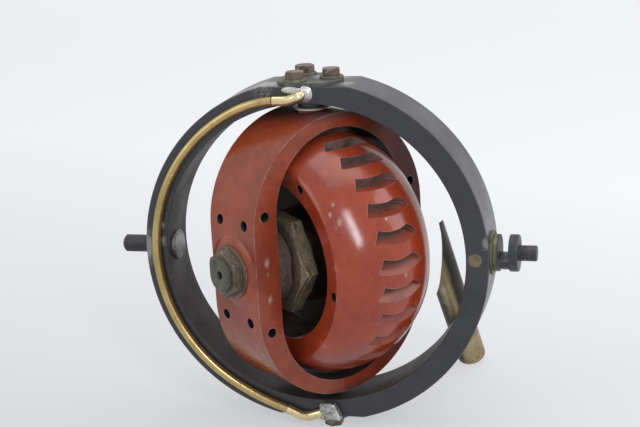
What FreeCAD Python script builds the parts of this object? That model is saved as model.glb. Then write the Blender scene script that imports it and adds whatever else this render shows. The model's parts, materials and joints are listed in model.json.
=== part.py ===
import FreeCAD, Part
import math
import os
import Sketcher

# Air driven gyroscope: a heavy rim wheel with milled buckets, spinning in a slot shaped
# inner gimbal, which turns about a vertical axis inside a broad outer ring.
# The ring has a trunnion at each side, an air pipe round its front face and a tube leg
# behind it, so that it stands up on the bolt heads of its lower cap.
#
# The origin is the ring's centre, where the three axes cross.
# X runs from the left trunnion to the right one, Y to the back and Z up.
# The gimbal and everything in it is drawn square to these axes and then turned about Z.

V = FreeCAD.Vector
X_AXIS = V(1, 0, 0)
Z_AXIS = V(0, 0, 1)
doc = FreeCAD.newDocument("gyroscope")

# Driving dimensions, in millimetres and degrees

sheet = doc.addObject("Spreadsheet::Sheet", "dims")
sheet.Label = "dims"
D = {}


def dimension(name, value):
    D[name] = value
    row = len(D)
    sheet.set("A%d" % row, name)
    sheet.set("B%d" % row, str(value))
    sheet.setAlias("B%d" % row, name)


dimension("ring_outer", 75.0)
dimension("ring_inner", 65.35)
dimension("ring_depth", 24.2)
dimension("ring_flat", 72.6)
dimension("edge_break", 0.5)
dimension("cap_radius", 14.0)
dimension("cap_thick", 1.6)
dimension("washer_thick", 0.8)
dimension("bolt_circle", 9.0)
dimension("bolt_corner", 3.8)
dimension("bolt_head", 2.7)
dimension("bolt_shank", 1.65)
dimension("pivot_shoulder", 6.0)
dimension("pivot_journal", 4.0)
dimension("pivot_collar", 62.5)
dimension("trunnion_pin", 3.8)
dimension("rivet_shank", 3.5)
dimension("trunnion_shank", 4.0)
dimension("trunnion_drum", 8.3)
dimension("trunnion_tip", 3.3)
dimension("plug_radius", 2.7)
dimension("pipe_circle", 69.5)
dimension("pipe_radius", 1.85)
dimension("elbow_radius", 2.05)
dimension("pipe_bore", 1.2)
dimension("leg_radius", 6.7)
dimension("leg_wall", 1.1)
dimension("gimbal_angle", 52.87)
dimension("gimbal_width", 31.3)
dimension("gimbal_arc", 44.6)
dimension("gimbal_centre", 16.5)
dimension("opening_arc", 33.1)
dimension("opening_centre", 22.1)
dimension("boss_radius", 16.6)
dimension("boss_outer", 46.2)
dimension("boss_inner", 27.0)
dimension("cup_radius", 9.5)
dimension("screw_radius", 7.1)
dimension("screw_end", 52.1)
dimension("journal_radius", 4.0)
dimension("cone_start", 33.0)
dimension("wheel_crown", 53.25)
dimension("rim_arc", 36.0)
dimension("rim_half_width", 24.6)
dimension("recess_radius", 34.0)
dimension("bucket_count", 28)
dimension("bucket_slope", 35.0)
dimension("bucket_start", -8.0)
dimension("wheel_turn", 4.86)
dimension("hub_nut_corner", 23.0)
doc.recompute()

HALF_DEPTH = D["ring_depth"] / 2
HALF_WIDTH = D["gimbal_width"] / 2
FRONT = -HALF_DEPTH
CAP_TOP = D["ring_flat"] + D["cap_thick"]
HEAD_SEAT = CAP_TOP + D["washer_thick"]
FLOOR = -(HEAD_SEAT + D["bolt_head"])
NO_PLACE = FreeCAD.Placement()
GIMBAL_PLACE = FreeCAD.Placement(V(0, 0, 0), FreeCAD.Rotation(Z_AXIS, D["gimbal_angle"]))
NODES = []


# Helpers

def keep(obj, label, place=NO_PLACE):
    obj.Label = label
    obj.Placement = place
    NODES.append(obj)
    return obj


def new_body(name):
    return doc.addObject("PartDesign::Body", name)


def new_sketch(body, role, name, offset=NO_PLACE):
    sketch = body.newObject("Sketcher::SketchObject", name)
    plane = [f for f in body.Origin.OriginFeatures if f.Role == role][0]
    sketch.AttachmentSupport = [(plane, "")]
    sketch.MapMode = "FlatFace"
    sketch.AttachmentOffset = offset
    return sketch


def lift(distance):
    return FreeCAD.Placement(V(0, 0, distance), FreeCAD.Rotation())


def polygon(sketch, points):
    corners = [V(x, y, 0) for x, y in points]
    for start, end in zip(corners, corners[1:] + corners[:1]):
        sketch.addGeometry(Part.LineSegment(start, end), False)


def chain(sketch, steps):
    # Each step is ("line", start, end) or ("arc", start, middle, end)
    for step in steps:
        points = [V(x, y, 0) for x, y in step[1:]]
        if step[0] == "line":
            sketch.addGeometry(Part.LineSegment(*points), False)
        else:
            sketch.addGeometry(Part.Arc(*points), False)


def circle(sketch, x, y, radius, alias=None):
    index = sketch.addGeometry(Part.Circle(V(x, y, 0), Z_AXIS, radius), False)
    number = sketch.addConstraint(Sketcher.Constraint("Radius", index, radius))
    if alias:
        sketch.renameConstraint(number, alias)
        sketch.setExpression("Constraints." + alias, "dims." + alias)


def feature(body, kind, name, sketch, **settings):
    feat = body.newObject("PartDesign::" + kind, name)
    feat.Profile = sketch
    sketch.Visibility = False
    for key, value in settings.items():
        if isinstance(value, str) and value.startswith("="):
            feat.setExpression(key, value[1:])
        else:
            setattr(feat, key, value)
    doc.recompute()
    return feat


def revolve(body, name, profile, axis, role="XZ_Plane", kind="Revolution"):
    sketch = new_sketch(body, role, name + "_profile")
    for loop in profile:
        polygon(sketch, loop)
    return feature(body, kind, name, sketch, ReferenceAxis=(sketch, [axis]), Angle=360.0)


def turned(name, loop, axis="H_Axis", place=NO_PLACE):
    # A lathe turned piece: profile points are (along X, radius) or (radius, along Z)
    body = new_body(name)
    revolve(body, name + "_turn", [loop], axis)
    return keep(body, name, place)


def edges_where(shape, test):
    return ["Edge%d" % (i + 1) for i, edge in enumerate(shape.Edges) if test(edge)]


def dress(body, kind, name, base, names, size):
    feat = body.newObject("PartDesign::" + kind, name)
    feat.Base = (base, names)
    setattr(feat, "Size" if kind == "Chamfer" else "Radius", size)
    doc.recompute()
    return feat


def hexagon(sketch, corner, turn=0.0):
    points = []
    for i in range(6):
        angle = math.radians(turn + 60 * i)
        points.append((corner * math.cos(angle), corner * math.sin(angle)))
    polygon(sketch, points)


def top_and_bottom(place):
    # The same place above and below the ring, the lower one turned over about Y
    flipped = FreeCAD.Placement(V(0, 0, 0), FreeCAD.Rotation(V(0, 1, 0), 180))
    return [("top", place), ("bottom", flipped.multiply(place))]


def clipped_disc(sketch, radius, half):
    # A disc cut off flat at both sides, flats parallel to the sketch's first axis
    reach = math.sqrt(radius * radius - half * half)
    chain(sketch, [
        ("line", (-reach, -half), (reach, -half)),
        ("arc", (reach, -half), (radius, 0), (reach, half)),
        ("line", (reach, half), (-reach, half)),
        ("arc", (-reach, half), (-radius, 0), (-reach, -half)),
    ])


# Outer ring: a square section ring with flats for the caps, bores for the trunnions and
# the gimbal's pivots, air passages from the front face, and tapped holes

ring = new_body("outer_ring")
outline = new_sketch(ring, "XZ_Plane", "ring_outline")
circle(outline, 0, 0, D["ring_outer"], "ring_outer")
circle(outline, 0, 0, D["ring_inner"], "ring_inner")
ring_pad = feature(ring, "Pad", "ring_pad", outline, Midplane=True, Length="=dims.ring_depth")
dress(ring, "Chamfer", "ring_edges", ring_pad,
      edges_where(ring_pad.Shape, lambda e: isinstance(e.Curve, Part.Circle)), D["edge_break"])

flats = new_sketch(ring, "XZ_Plane", "cap_flats")
for side in (1, -1):
    low, high = sorted((side * D["ring_flat"], side * 80))
    polygon(flats, [(-30, low), (30, low), (30, high), (-30, high)])
feature(ring, "Pocket", "cap_flats_cut", flats, Type="ThroughAll", Midplane=True)

shank = D["trunnion_shank"]
pin = D["trunnion_pin"]
rivet = D["rivet_shank"]
revolve(ring, "trunnion_bores", [
    [(-80, 0), (-80, rivet), (-65.4, rivet), (-65.4, 6.6), (-60, 6.6), (-60, 0)],
    [(60, 0), (60, shank), (74.4, shank), (74.4, 9.6), (80, 9.6), (80, 0)],
], "H_Axis", kind="Groove")

shoulder = D["pivot_shoulder"]
revolve(ring, "pivot_bores", [
    [(0, 60), (shoulder, 60), (shoulder, 76), (0, 76)],
    [(0, -60), (shoulder, -60), (shoulder, -76), (0, -76)],
], "V_Axis", kind="Groove")

AIR_X = 1.2
AIR_HIGH = 69.6
AIR_LOW = -70.4
sockets = new_sketch(ring, "XZ_Plane", "pipe_sockets", lift(HALF_DEPTH))
circle(sockets, AIR_X, AIR_HIGH, D["elbow_radius"], "elbow_radius")
feature(ring, "Pocket", "pipe_socket_cut", sockets, Length=3.1)
passages = new_sketch(ring, "XZ_Plane", "air_passages", lift(HALF_DEPTH))
circle(passages, AIR_X, AIR_HIGH, D["pipe_bore"], "pipe_bore")
circle(passages, AIR_X, AIR_LOW, D["pipe_bore"])
feature(ring, "Pocket", "air_passage_cut", passages, Length=9.0)

plug_hole = new_sketch(ring, "XZ_Plane", "plug_hole", lift(HALF_DEPTH))
circle(plug_hole, 69.2, 0, D["plug_radius"], "plug_radius")
feature(ring, "Pocket", "plug_hole_cut", plug_hole, Length=HALF_DEPTH - shank + 1.4)

for side in ("top", "bottom"):
    level = FreeCAD.Placement(V(0, 0, D["ring_flat"]), FreeCAD.Rotation())
    if side == "bottom":
        level = FreeCAD.Placement(V(0, 0, -D["ring_flat"]), FreeCAD.Rotation(V(0, 1, 0), 180))
    tapped = new_sketch(ring, "XY_Plane", side + "_tapped_holes", level)
    for i in range(3):
        angle = math.radians(120 * i)
        circle(tapped, D["bolt_circle"] * math.cos(angle), D["bolt_circle"] * math.sin(angle),
               D["bolt_shank"])
    feature(ring, "Pocket", side + "_tapped_cut", tapped, Length=5.4)

# The leg's bracket is screwed to the ring's rear face
BRACKET_ANGLE = -48.5
BRACKET_MID = 70.2
BRACKET_SPREAD = 4.8
BRACKET_PLATE = (8.4, 2.0, 18.0)
BRACKET_ARM = 2.6
bracket_turn = FreeCAD.Rotation(V(0, 1, 0), -BRACKET_ANGLE)
screw_spots = []
for turn in (-BRACKET_SPREAD, BRACKET_SPREAD):
    angle = math.radians(BRACKET_ANGLE + turn)
    screw_spots.append((BRACKET_MID * math.cos(angle), BRACKET_MID * math.sin(angle)))
rear_view = FreeCAD.Placement(V(0, 0, -HALF_DEPTH), FreeCAD.Rotation(V(0, 1, 0), 180))
rear_holes = new_sketch(ring, "XZ_Plane", "bracket_holes", rear_view)
for x, z in screw_spots:
    circle(rear_holes, -x, z, 1.5)
feature(ring, "Pocket", "bracket_holes_cut", rear_holes, Length=7.0)
keep(ring, "outer_ring")

# Trunnions: at the left a shouldered pin riveted inside; at the right a drum with a slot
# milled down to its axis, an end pin, a washer behind it and a plug that locks its shank

PIN_SHOULDER = -75.2
turned("left_trunnion", [
    (-90, 0), (-90, pin - 1.3), (-88.9, pin), (PIN_SHOULDER, pin), (PIN_SHOULDER, rivet),
    (-65.4, rivet), (-65.4, 6.5), (-64.4, 6.5), (-63.9, 6.0), (-63.9, 0)])

drum = D["trunnion_drum"]
tip = D["trunnion_tip"]
right = new_body("right_trunnion")
revolve(right, "drum_turn", [[
    (67.4, 0), (67.4, shank), (75.6, shank), (75.6, drum - 0.4), (76.0, drum), (86.5, drum),
    (86.9, drum - 0.4), (86.9, tip), (92.9, tip), (93.3, tip - 0.4), (93.3, 0)]], "H_Axis")
slot = new_sketch(right, "XZ_Plane", "drum_slot")
polygon(slot, [(78.2, 0.6), (81.9, 0.6), (81.9, 10), (78.2, 10)])
feature(right, "Pocket", "drum_slot_cut", slot, Type="ThroughAll", Midplane=True)
keep(right, "right_trunnion")

turned("trunnion_washer", [(74.4, shank), (74.4, 9.3), (75.6, 9.3), (75.6, shank)])

plug = new_body("trunnion_lock_plug")
plug_face = new_sketch(plug, "XZ_Plane", "plug_face", lift(HALF_DEPTH))
circle(plug_face, 0, 0, D["plug_radius"], "plug_radius")
feature(plug, "Pad", "plug_pad", plug_face, Length=HALF_DEPTH - shank, Reversed=True)
seat = new_sketch(plug, "YZ_Plane", "plug_seat")
circle(seat, 0, 0, shank)
feature(plug, "Pocket", "plug_seat_cut", seat, Type="ThroughAll", Midplane=True)
keep(plug, "trunnion_lock_plug", FreeCAD.Placement(V(69.2, 0, 0), FreeCAD.Rotation()))

# Caps, washers and bolts over the pivots, top and bottom


def cap_bolt(name, place):
    bolt = new_body(name)
    head = new_sketch(bolt, "XY_Plane", name + "_head", lift(HEAD_SEAT))
    hexagon(head, D["bolt_corner"], 15)
    feature(bolt, "Pad", name + "_head_pad", head, Length="=dims.bolt_head")
    corner = D["bolt_corner"]
    high = HEAD_SEAT + D["bolt_head"]
    revolve(bolt, name + "_head_chamfer",
            [[(corner - 0.55, high), (corner + 0.5, high), (corner + 0.5, high - 0.6)]],
            "V_Axis", kind="Groove")
    stem = new_sketch(bolt, "XY_Plane", name + "_stem", lift(HEAD_SEAT))
    circle(stem, 0, 0, D["bolt_shank"], "bolt_shank")
    feature(bolt, "Pad", name + "_stem_pad", stem, Length=6.8, Reversed=True)
    bolt.Placement = place
    return bolt


def cap_washer(name, place):
    washer = new_body(name)
    revolve(washer, name + "_turn", [[
        (D["bolt_shank"], CAP_TOP), (4.4, CAP_TOP), (4.4, HEAD_SEAT), (D["bolt_shank"], HEAD_SEAT)]],
        "V_Axis")
    washer.Placement = place
    return washer


def group(pieces, label):
    compound = doc.addObject("Part::Compound", label)
    compound.Links = pieces
    doc.recompute()
    return keep(compound, label)


for side, place in top_and_bottom(NO_PLACE):
    cap = new_body(side + "_cap")
    face = new_sketch(cap, "XY_Plane", side + "_cap_face", lift(D["ring_flat"]))
    clipped_disc(face, D["cap_radius"], HALF_DEPTH)
    for i in range(3):
        angle = math.radians(120 * i)
        circle(face, D["bolt_circle"] * math.cos(angle), D["bolt_circle"] * math.sin(angle),
               D["bolt_shank"])
    feature(cap, "Pad", side + "_cap_pad", face, Length="=dims.cap_thick")
    keep(cap, side + "_cap", place)
    bolts = []
    washers = []
    for i in range(3):
        angle = math.radians(120 * i)
        spot = V(D["bolt_circle"] * math.cos(angle), D["bolt_circle"] * math.sin(angle), 0)
        here = place.multiply(FreeCAD.Placement(spot, FreeCAD.Rotation(Z_AXIS, 25 * i)))
        bolts.append(cap_bolt("%s_bolt_%d" % (side, i + 1), here))
        washers.append(cap_washer("%s_washer_%d" % (side, i + 1), here))
    group(bolts, side + "_cap_bolts")
    group(washers, side + "_cap_washers")

# Gimbal pivots: hollow pins pressed into the ring, each with a journal that turns in a
# flanged bush in the gimbal; air comes in at the cross hole and leaves at the inner end

journal = D["pivot_journal"]
collar = D["pivot_collar"]
for side, place in top_and_bottom(NO_PLACE):
    pivot = new_body(side + "_pivot")
    revolve(pivot, side + "_pivot_turn", [[
        (1.25, 56.2), (journal - 0.3, 56.2), (journal, 56.5), (journal, collar + 0.25),
        (shoulder, collar + 0.25), (shoulder, D["ring_flat"]), (0, D["ring_flat"]), (0, 71.95),
        (1.25, 71.95)]], "V_Axis")
    cross = new_sketch(pivot, "XZ_Plane", side + "_cross_hole", lift(8))
    if side == "top":
        circle(cross, AIR_X, AIR_HIGH, D["pipe_bore"])
    else:
        circle(cross, -AIR_X, -AIR_LOW, D["pipe_bore"])
    feature(pivot, "Pocket", side + "_cross_hole_cut", cross, Length=8.0)
    keep(pivot, side + "_pivot", place)
    turned(side + "_pivot_bush", [
        (journal + 0.05, 55.3), (6.5, 55.3), (6.5, 60.6), (7.8, 60.6), (7.8, collar - 0.4),
        (7.4, collar), (journal + 0.05, collar)], "V_Axis", GIMBAL_PLACE.multiply(place))

# Air pipe: laid on the front face round the left half of the ring, in three flowing arcs


def walk(start, heading, moves):
    # Arcs and lines end to end: a move is (length, 0) or (radius, turn in degrees)
    x, z = start
    edges = []
    for size, turn in moves:
        a = math.radians(heading)
        if turn == 0:
            nx, nz = x + size * math.cos(a), z + size * math.sin(a)
            edges.append(("line", (x, z), (nx, nz)))
        else:
            side = 1 if turn > 0 else -1
            cx, cz = x - side * size * math.sin(a), z + side * size * math.cos(a)
            points = []
            for part in (0.5, 1.0):
                b = a + math.radians(turn * part)
                points.append((cx + side * size * math.sin(b), cz - side * size * math.cos(b)))
            edges.append(("arc", (x, z), points[0], points[1]))
            nx, nz = points[1]
            heading += turn
        x, z = nx, nz
    return edges, (x, z), heading


START_ANGLE = 115.0
END_ANGLE = 235.0
circle_start = (D["pipe_circle"] * math.cos(math.radians(START_ANGLE)),
                D["pipe_circle"] * math.sin(math.radians(START_ANGLE)))
upper, pipe_top, top_heading = walk(circle_start, START_ANGLE - 90, [(44.3, -22.0)])
lower, pipe_bottom, bottom_heading = walk(
    circle_start, START_ANGLE + 90, [(D["pipe_circle"], END_ANGLE - START_ANGLE), (96.4, 16.6)])
PIPE_Y = FRONT - D["pipe_radius"] - 0.02
ELBOW_Y = FRONT - D["elbow_radius"] - 0.05

pipe = new_body("air_pipe")
route = new_sketch(pipe, "XZ_Plane", "pipe_route", lift(-PIPE_Y))
chain(route, [("arc", upper[0][3], upper[0][2], upper[0][1])] + lower)
section = new_sketch(pipe, "YZ_Plane", "pipe_section")
section.MapMode = "Deactivated"
section.Placement = FreeCAD.Placement(
    V(pipe_top[0], PIPE_Y, pipe_top[1]),
    FreeCAD.Rotation(V(0, 1, 0), -top_heading).multiply(FreeCAD.Rotation(V(0, 1, 0), 90)))
circle(section, 0, 0, D["pipe_radius"], "pipe_radius")
circle(section, 0, 0, D["pipe_bore"], "pipe_bore")
sweep = pipe.newObject("PartDesign::AdditivePipe", "pipe_sweep")
sweep.Profile = section
sweep.Spine = (route, [])
doc.recompute()
keep(pipe, "air_pipe")


def rounded_route(points, bends):
    # A wire through the points, with a tangent arc of the given radius at each inner one
    edges = []
    start = points[0]
    for i, bend in enumerate(bends, 1):
        before = (points[i] - points[i - 1]).normalize()
        after = (points[i + 1] - points[i]).normalize()
        turn = before.getAngle(after)
        reach = bend * math.tan(turn / 2)
        leave = points[i] - before * reach
        join = points[i] + after * reach
        inward = (after - before).normalize()
        middle = points[i] + inward * (bend / math.cos(turn / 2) - bend)
        edges.append(Part.LineSegment(start, leave).toShape())
        edges.append(Part.Arc(leave, middle, join).toShape())
        start = join
    edges.append(Part.LineSegment(start, points[-1]).toShape())
    return Part.Wire(edges)


def tube_along(route, radius):
    start = route.Edges[0]
    normal = start.tangentAt(start.FirstParameter)
    ring_edge = Part.Circle(start.valueAt(start.FirstParameter), normal, radius).toShape()
    return route.makePipeShell([Part.Wire([ring_edge])], True, False, 2)


def tube_node(name, points, bends):
    route = rounded_route(points, bends)
    tube = doc.addObject("Part::Feature", name)
    tube.Shape = tube_along(route, D["elbow_radius"]).cut(tube_along(route, D["pipe_bore"]))
    return keep(tube, name)


JOINT_GAP = 0.25
SOCKET_END = FRONT + 3.1
UPPER_BEND = V(-5.6, ELBOW_Y, pipe_top[1] + 0.1)
LOWER_BEND = V(-6.6, ELBOW_Y, -73.2)
upper_start = V(pipe_top[0] + JOINT_GAP, ELBOW_Y, pipe_top[1])
lower_start = V(pipe_bottom[0] + JOINT_GAP, ELBOW_Y, pipe_bottom[1])
tube_node("top_elbow", [upper_start, UPPER_BEND, V(AIR_X, ELBOW_Y, AIR_HIGH),
                        V(AIR_X, SOCKET_END, AIR_HIGH)], [12.0, 2.6])
tube_node("bottom_elbow", [lower_start, LOWER_BEND, V(AIR_X, ELBOW_Y, AIR_LOW)], [9.0])

# Solder: a dome round the top elbow where it enters the ring, and a lump at the bottom
# that the other elbow runs into, with the air passage through it


def part_object(kind, name, place=NO_PLACE, **sizes):
    obj = doc.addObject("Part::" + kind, name)
    for key, value in sizes.items():
        setattr(obj, key, value)
    obj.Placement = place
    doc.recompute()
    return obj


def at(x, y, z, rotation=FreeCAD.Rotation()):
    return FreeCAD.Placement(V(x, y, z), rotation)


def cut(name, base, tool):
    return part_object("Cut", name, Base=base, Tool=tool)


DOME_BASE = 3.1
DOME_HIGH = 1.7
dome_ball = (DOME_BASE ** 2 + DOME_HIGH ** 2) / (2 * DOME_HIGH)
dome = part_object("Sphere", "solder_dome", at(2.1, FRONT + dome_ball - DOME_HIGH, 70.0),
                   Radius=dome_ball)
behind = part_object("Box", "ring_side", at(-5, FRONT, 60), Length=15, Width=8, Height=20)
front_dome = cut("front_dome", dome, behind)
elbow_hole = doc.addObject("Part::Feature", "elbow_hole")
elbow_hole.Shape = tube_along(rounded_route([
    UPPER_BEND, V(AIR_X, ELBOW_Y, AIR_HIGH), V(AIR_X, SOCKET_END, AIR_HIGH)], [2.6]),
    D["elbow_radius"])
keep(cut("top_solder", front_dome, elbow_hole), "top_solder")

lump = part_object("Box", "solder_lump", at(0, FRONT - 4.6, -73.3), Length=9.7, Width=4.6,
                   Height=7.7)
soft = part_object("Fillet", "soft_lump", Base=lump)
soft.Edges = [(i + 1, 1.4, 1.4) for i, e in enumerate(lump.Shape.Edges)
              if e.BoundBox.YMin < FRONT - 0.1]
doc.recompute()
low_hole = doc.addObject("Part::Feature", "low_elbow_hole")
low_hole.Shape = tube_along(rounded_route([
    LOWER_BEND, V(AIR_X, ELBOW_Y, AIR_LOW)], []), D["elbow_radius"])
lump_cut = cut("lump_with_socket", soft, low_hole)
low_slope = math.degrees(math.atan2(AIR_LOW - LOWER_BEND.z, AIR_X - LOWER_BEND.x))
along_elbow = at(AIR_X, ELBOW_Y + 1.0, AIR_LOW, FreeCAD.Rotation(V(0, 1, 0), -low_slope))
under = part_object("Box", "open_underside", along_elbow.multiply(at(-4, 0, -1.4)),
                    Length=4, Width=1.5, Height=2.8)
lump_open = cut("lump_open_below", lump_cut, under)
drill = part_object("Cylinder", "lump_passage",
                    at(AIR_X, ELBOW_Y, AIR_LOW, FreeCAD.Rotation(X_AXIS, -90)),
                    Radius=D["pipe_bore"], Height=4)
keep(cut("bottom_solder", lump_open, drill), "bottom_solder")

# Prop leg: a tube that leans back from the ring's right side to the floor, its top cut
# away along a hollow curve, and the bracket and screws that hold it to the ring

LEG_TOP = V(41.8, 30.0, 2.9)
LEG_FOOT = V(51.7, 73.8, FLOOR + 3.35)
LEG_ACROSS = V(0.925, 0.267, 0.269)
along = (LEG_TOP - LEG_FOOT).normalize()
leg_length = (LEG_TOP - LEG_FOOT).Length
leg_turn = FreeCAD.Rotation(LEG_ACROSS, V(), along, "ZXY")
leg_place = FreeCAD.Placement(LEG_FOOT, leg_turn)
leg = new_body("prop_leg")
tube_end = new_sketch(leg, "XY_Plane", "leg_end")
circle(tube_end, 0, 0, D["leg_radius"], "leg_radius")
circle(tube_end, 0, 0, D["leg_radius"] - D["leg_wall"])
feature(leg, "Pad", "leg_pad", tube_end, Length=leg_length + 1.2)
scarf = new_sketch(leg, "XZ_Plane", "leg_scarf")
top = leg_length + 1.2
chain(scarf, [
    ("arc", (4.3, top + 0.2), (0.9, top - 28.0), (-6.8, top - 49.0)),
    ("line", (-6.8, top - 49.0), (-9.0, top - 49.0)),
    ("line", (-9.0, top - 49.0), (-9.0, top + 0.2)),
    ("line", (-9.0, top + 0.2), (4.3, top + 0.2)),
])
feature(leg, "Pocket", "leg_scarf_cut", scarf, Type="ThroughAll", Midplane=True)
keep(leg, "prop_leg", leg_place)

bracket_angle = math.radians(BRACKET_ANGLE)
arm_x = BRACKET_MID * math.cos(bracket_angle)
arm_z = BRACKET_MID * math.sin(bracket_angle)
plate_wide, plate_thick, plate_long = BRACKET_PLATE
plate_place = at(arm_x, HALF_DEPTH, arm_z, bracket_turn)
foot_plate = part_object("Box", "bracket_plate",
                         plate_place.multiply(at(-plate_wide / 2, 0, -plate_long / 2)),
                         Length=plate_wide, Width=plate_thick, Height=plate_long)
on_axis = LEG_FOOT + along * ((arm_z - LEG_FOOT.z) / along.z)
arm_start = V(arm_x, HALF_DEPTH + plate_thick / 2, arm_z)
arm_vector = on_axis - arm_start
arm = part_object("Cylinder", "bracket_arm",
                  FreeCAD.Placement(arm_start, FreeCAD.Rotation(Z_AXIS, arm_vector)),
                  Radius=BRACKET_ARM, Height=arm_vector.Length)
joined = part_object("MultiFuse", "bracket_joined", Shapes=[foot_plate, arm])
leg_rod = part_object("Cylinder", "leg_rod", leg_place, Radius=D["leg_radius"], Height=leg_length)
saddle = cut("bracket_saddle", joined, leg_rod)
holes = []
screws = []
for i, (x, z) in enumerate(screw_spots, 1):
    holes.append(part_object("Cylinder", "bracket_hole_%d" % i,
                             at(x, HALF_DEPTH, z, FreeCAD.Rotation(X_AXIS, -90)),
                             Radius=1.5, Height=4))
    screw = new_body("bracket_screw_%d" % i)
    revolve(screw, "bracket_screw_turn_%d" % i, [[
        (0, -6.0), (1.5, -6.0), (1.5, 2.0), (2.7, 2.0), (2.7, 3.2), (2.2, 3.7), (0, 3.7)]],
        "V_Axis")
    screw.Placement = at(x, HALF_DEPTH, z, FreeCAD.Rotation(X_AXIS, -90))
    screws.append(screw)
both_holes = part_object("Compound", "bracket_holes_tool", Links=holes)
keep(cut("leg_bracket", saddle, both_holes), "leg_bracket")
group(screws, "bracket_screws")

# Inner gimbal: a slot shaped band with a round boss at each side for the wheel's
# bearings, drilled on its sides and its front face


def slot_outline(sketch, radius, centre):
    chain(sketch, [
        ("arc", (radius, centre), (0, centre + radius), (-radius, centre)),
        ("line", (-radius, centre), (-radius, -centre)),
        ("arc", (-radius, -centre), (0, -centre - radius), (radius, -centre)),
        ("line", (radius, -centre), (radius, centre)),
    ])


gimbal = new_body("inner_gimbal")
band = new_sketch(gimbal, "XZ_Plane", "gimbal_outline")
slot_outline(band, D["gimbal_arc"], D["gimbal_centre"])
slot_outline(band, D["opening_arc"], D["opening_centre"])
gimbal_pad = feature(gimbal, "Pad", "gimbal_band", band, Midplane=True,
                     Length="=dims.gimbal_width")
for name, turn in (("far_boss", 0), ("near_boss", 180)):
    away = FreeCAD.Placement(V(0, 0, 0), FreeCAD.Rotation(V(0, 1, 0), turn))
    boss = new_sketch(gimbal, "YZ_Plane", name, away.multiply(lift(D["boss_inner"])))
    reach = math.sqrt(D["boss_radius"] ** 2 - HALF_WIDTH ** 2)
    radius = D["boss_radius"]
    chain(boss, [
        ("line", (-HALF_WIDTH, -reach), (-HALF_WIDTH, reach)),
        ("arc", (-HALF_WIDTH, reach), (0, radius), (HALF_WIDTH, reach)),
        ("line", (HALF_WIDTH, reach), (HALF_WIDTH, -reach)),
        ("arc", (HALF_WIDTH, -reach), (0, -radius), (-HALF_WIDTH, -reach)),
    ])
    feature(gimbal, "Pad", name + "_pad", boss, Length=D["boss_outer"] - D["boss_inner"])
shape = gimbal.Shape
dress(gimbal, "Chamfer", "gimbal_edges", gimbal.Tip,
      edges_where(shape, lambda e: abs(abs(e.BoundBox.Center.y) - HALF_WIDTH) < 0.01
                  and e.BoundBox.YLength < 0.01), 0.6)
cup = D["cup_radius"]
thread = D["screw_radius"]
revolve(gimbal, "axle_bores", [
    [(20, 0), (20, cup), (42, cup), (42, thread), (50, thread), (50, 0)],
    [(-20, 0), (-20, cup), (-42, cup), (-42, thread), (-50, thread), (-50, 0)],
], "H_Axis", kind="Groove")
revolve(gimbal, "bush_bores", [
    [(0, 50), (6.5, 50), (6.5, 60.6), (8.4, 60.6), (8.4, 66), (0, 66)],
    [(0, -50), (6.5, -50), (6.5, -60.6), (8.4, -60.6), (8.4, -66), (0, -66)],
], "V_Axis", kind="Groove")
for name, turn in (("far_holes", 0), ("near_holes", 180)):
    away = FreeCAD.Placement(V(0, 0, 0), FreeCAD.Rotation(V(0, 1, 0), turn))
    drilled = new_sketch(gimbal, "YZ_Plane", name, away.multiply(lift(46)))
    for y in (-8.6, 8.6):
        for z in (-20.8, 20.8):
            circle(drilled, y, z, 2.25)
    feature(gimbal, "Pocket", name + "_cut", drilled, Length=7.5)
face_holes = new_sketch(gimbal, "XZ_Plane", "face_holes", lift(HALF_WIDTH))
for x in (-38.7, 38.7):
    for z in (-24.75, 24.75):
        circle(face_holes, x, z, 2.1)
feature(gimbal, "Pocket", "face_holes_cut", face_holes, Length=8.0)
keep(gimbal, "inner_gimbal", GIMBAL_PLACE)

# Wheel bearings: at each side a bearing screw with a conical cup for the axle's end, held
# by a lock nut over a washer, so that the end play can be taken up

CUP_PLAY = 0.1
cone_top = D["journal_radius"] + D["cone_start"]
for side, turn in (("far", 0), ("near", 180)):
    place = GIMBAL_PLACE.multiply(FreeCAD.Placement(V(), FreeCAD.Rotation(Z_AXIS, turn)))
    end = D["screw_end"]
    mouth = D["journal_radius"] + 1.5
    relief = 0.6
    turned(side + "_bearing_screw", [
        (27.0, mouth), (27.0, cup), (42.0, cup), (42.0, thread), (end, thread), (end, 1.8),
        (end - 5.0, 1.8), (end - 6.0, 0), (cone_top + 1.0, 0), (cone_top + 1.0, relief),
        (cone_top + CUP_PLAY - relief, relief), (cone_top + CUP_PLAY - mouth, mouth)],
        "H_Axis", place)
    turned(side + "_screw_washer", [
        (D["boss_outer"], thread), (D["boss_outer"], 11.2), (47.2, 11.2), (47.2, thread)],
        "H_Axis", place)
    nut = new_body(side + "_lock_nut")
    nut_face = new_sketch(nut, "YZ_Plane", side + "_nut_face", lift(47.2))
    hexagon(nut_face, 10.2, 90)
    circle(nut_face, 0, 0, thread, "screw_radius")
    feature(nut, "Pad", side + "_nut_pad", nut_face, Length=3.8)
    revolve(nut, side + "_nut_chamfer", [[(51.0, 9.3), (51.0, 11), (50.0, 11)]],
            "H_Axis", kind="Groove")
    keep(nut, side + "_lock_nut", place)

# Rotor: the wheel, its axle, and at each side a thick hub nut with a thin lock nut on it

spin_place = GIMBAL_PLACE.multiply(
    FreeCAD.Placement(V(), FreeCAD.Rotation(X_AXIS, D["wheel_turn"])))
crown = D["wheel_crown"]
arc_radius = D["rim_arc"]
rim_half = D["rim_half_width"]
recess = D["recess_radius"]
HUB_BORE = 8.0
HUB_FACE = 18.8
NUT_CHAMFER_SLOPE = 0.5
RIM_FACE = 22.9


def rim_height(x):
    # Radius of the crowned rim at a distance x from the wheel's middle plane
    return crown - arc_radius + math.sqrt(arc_radius ** 2 - x ** 2)


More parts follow.
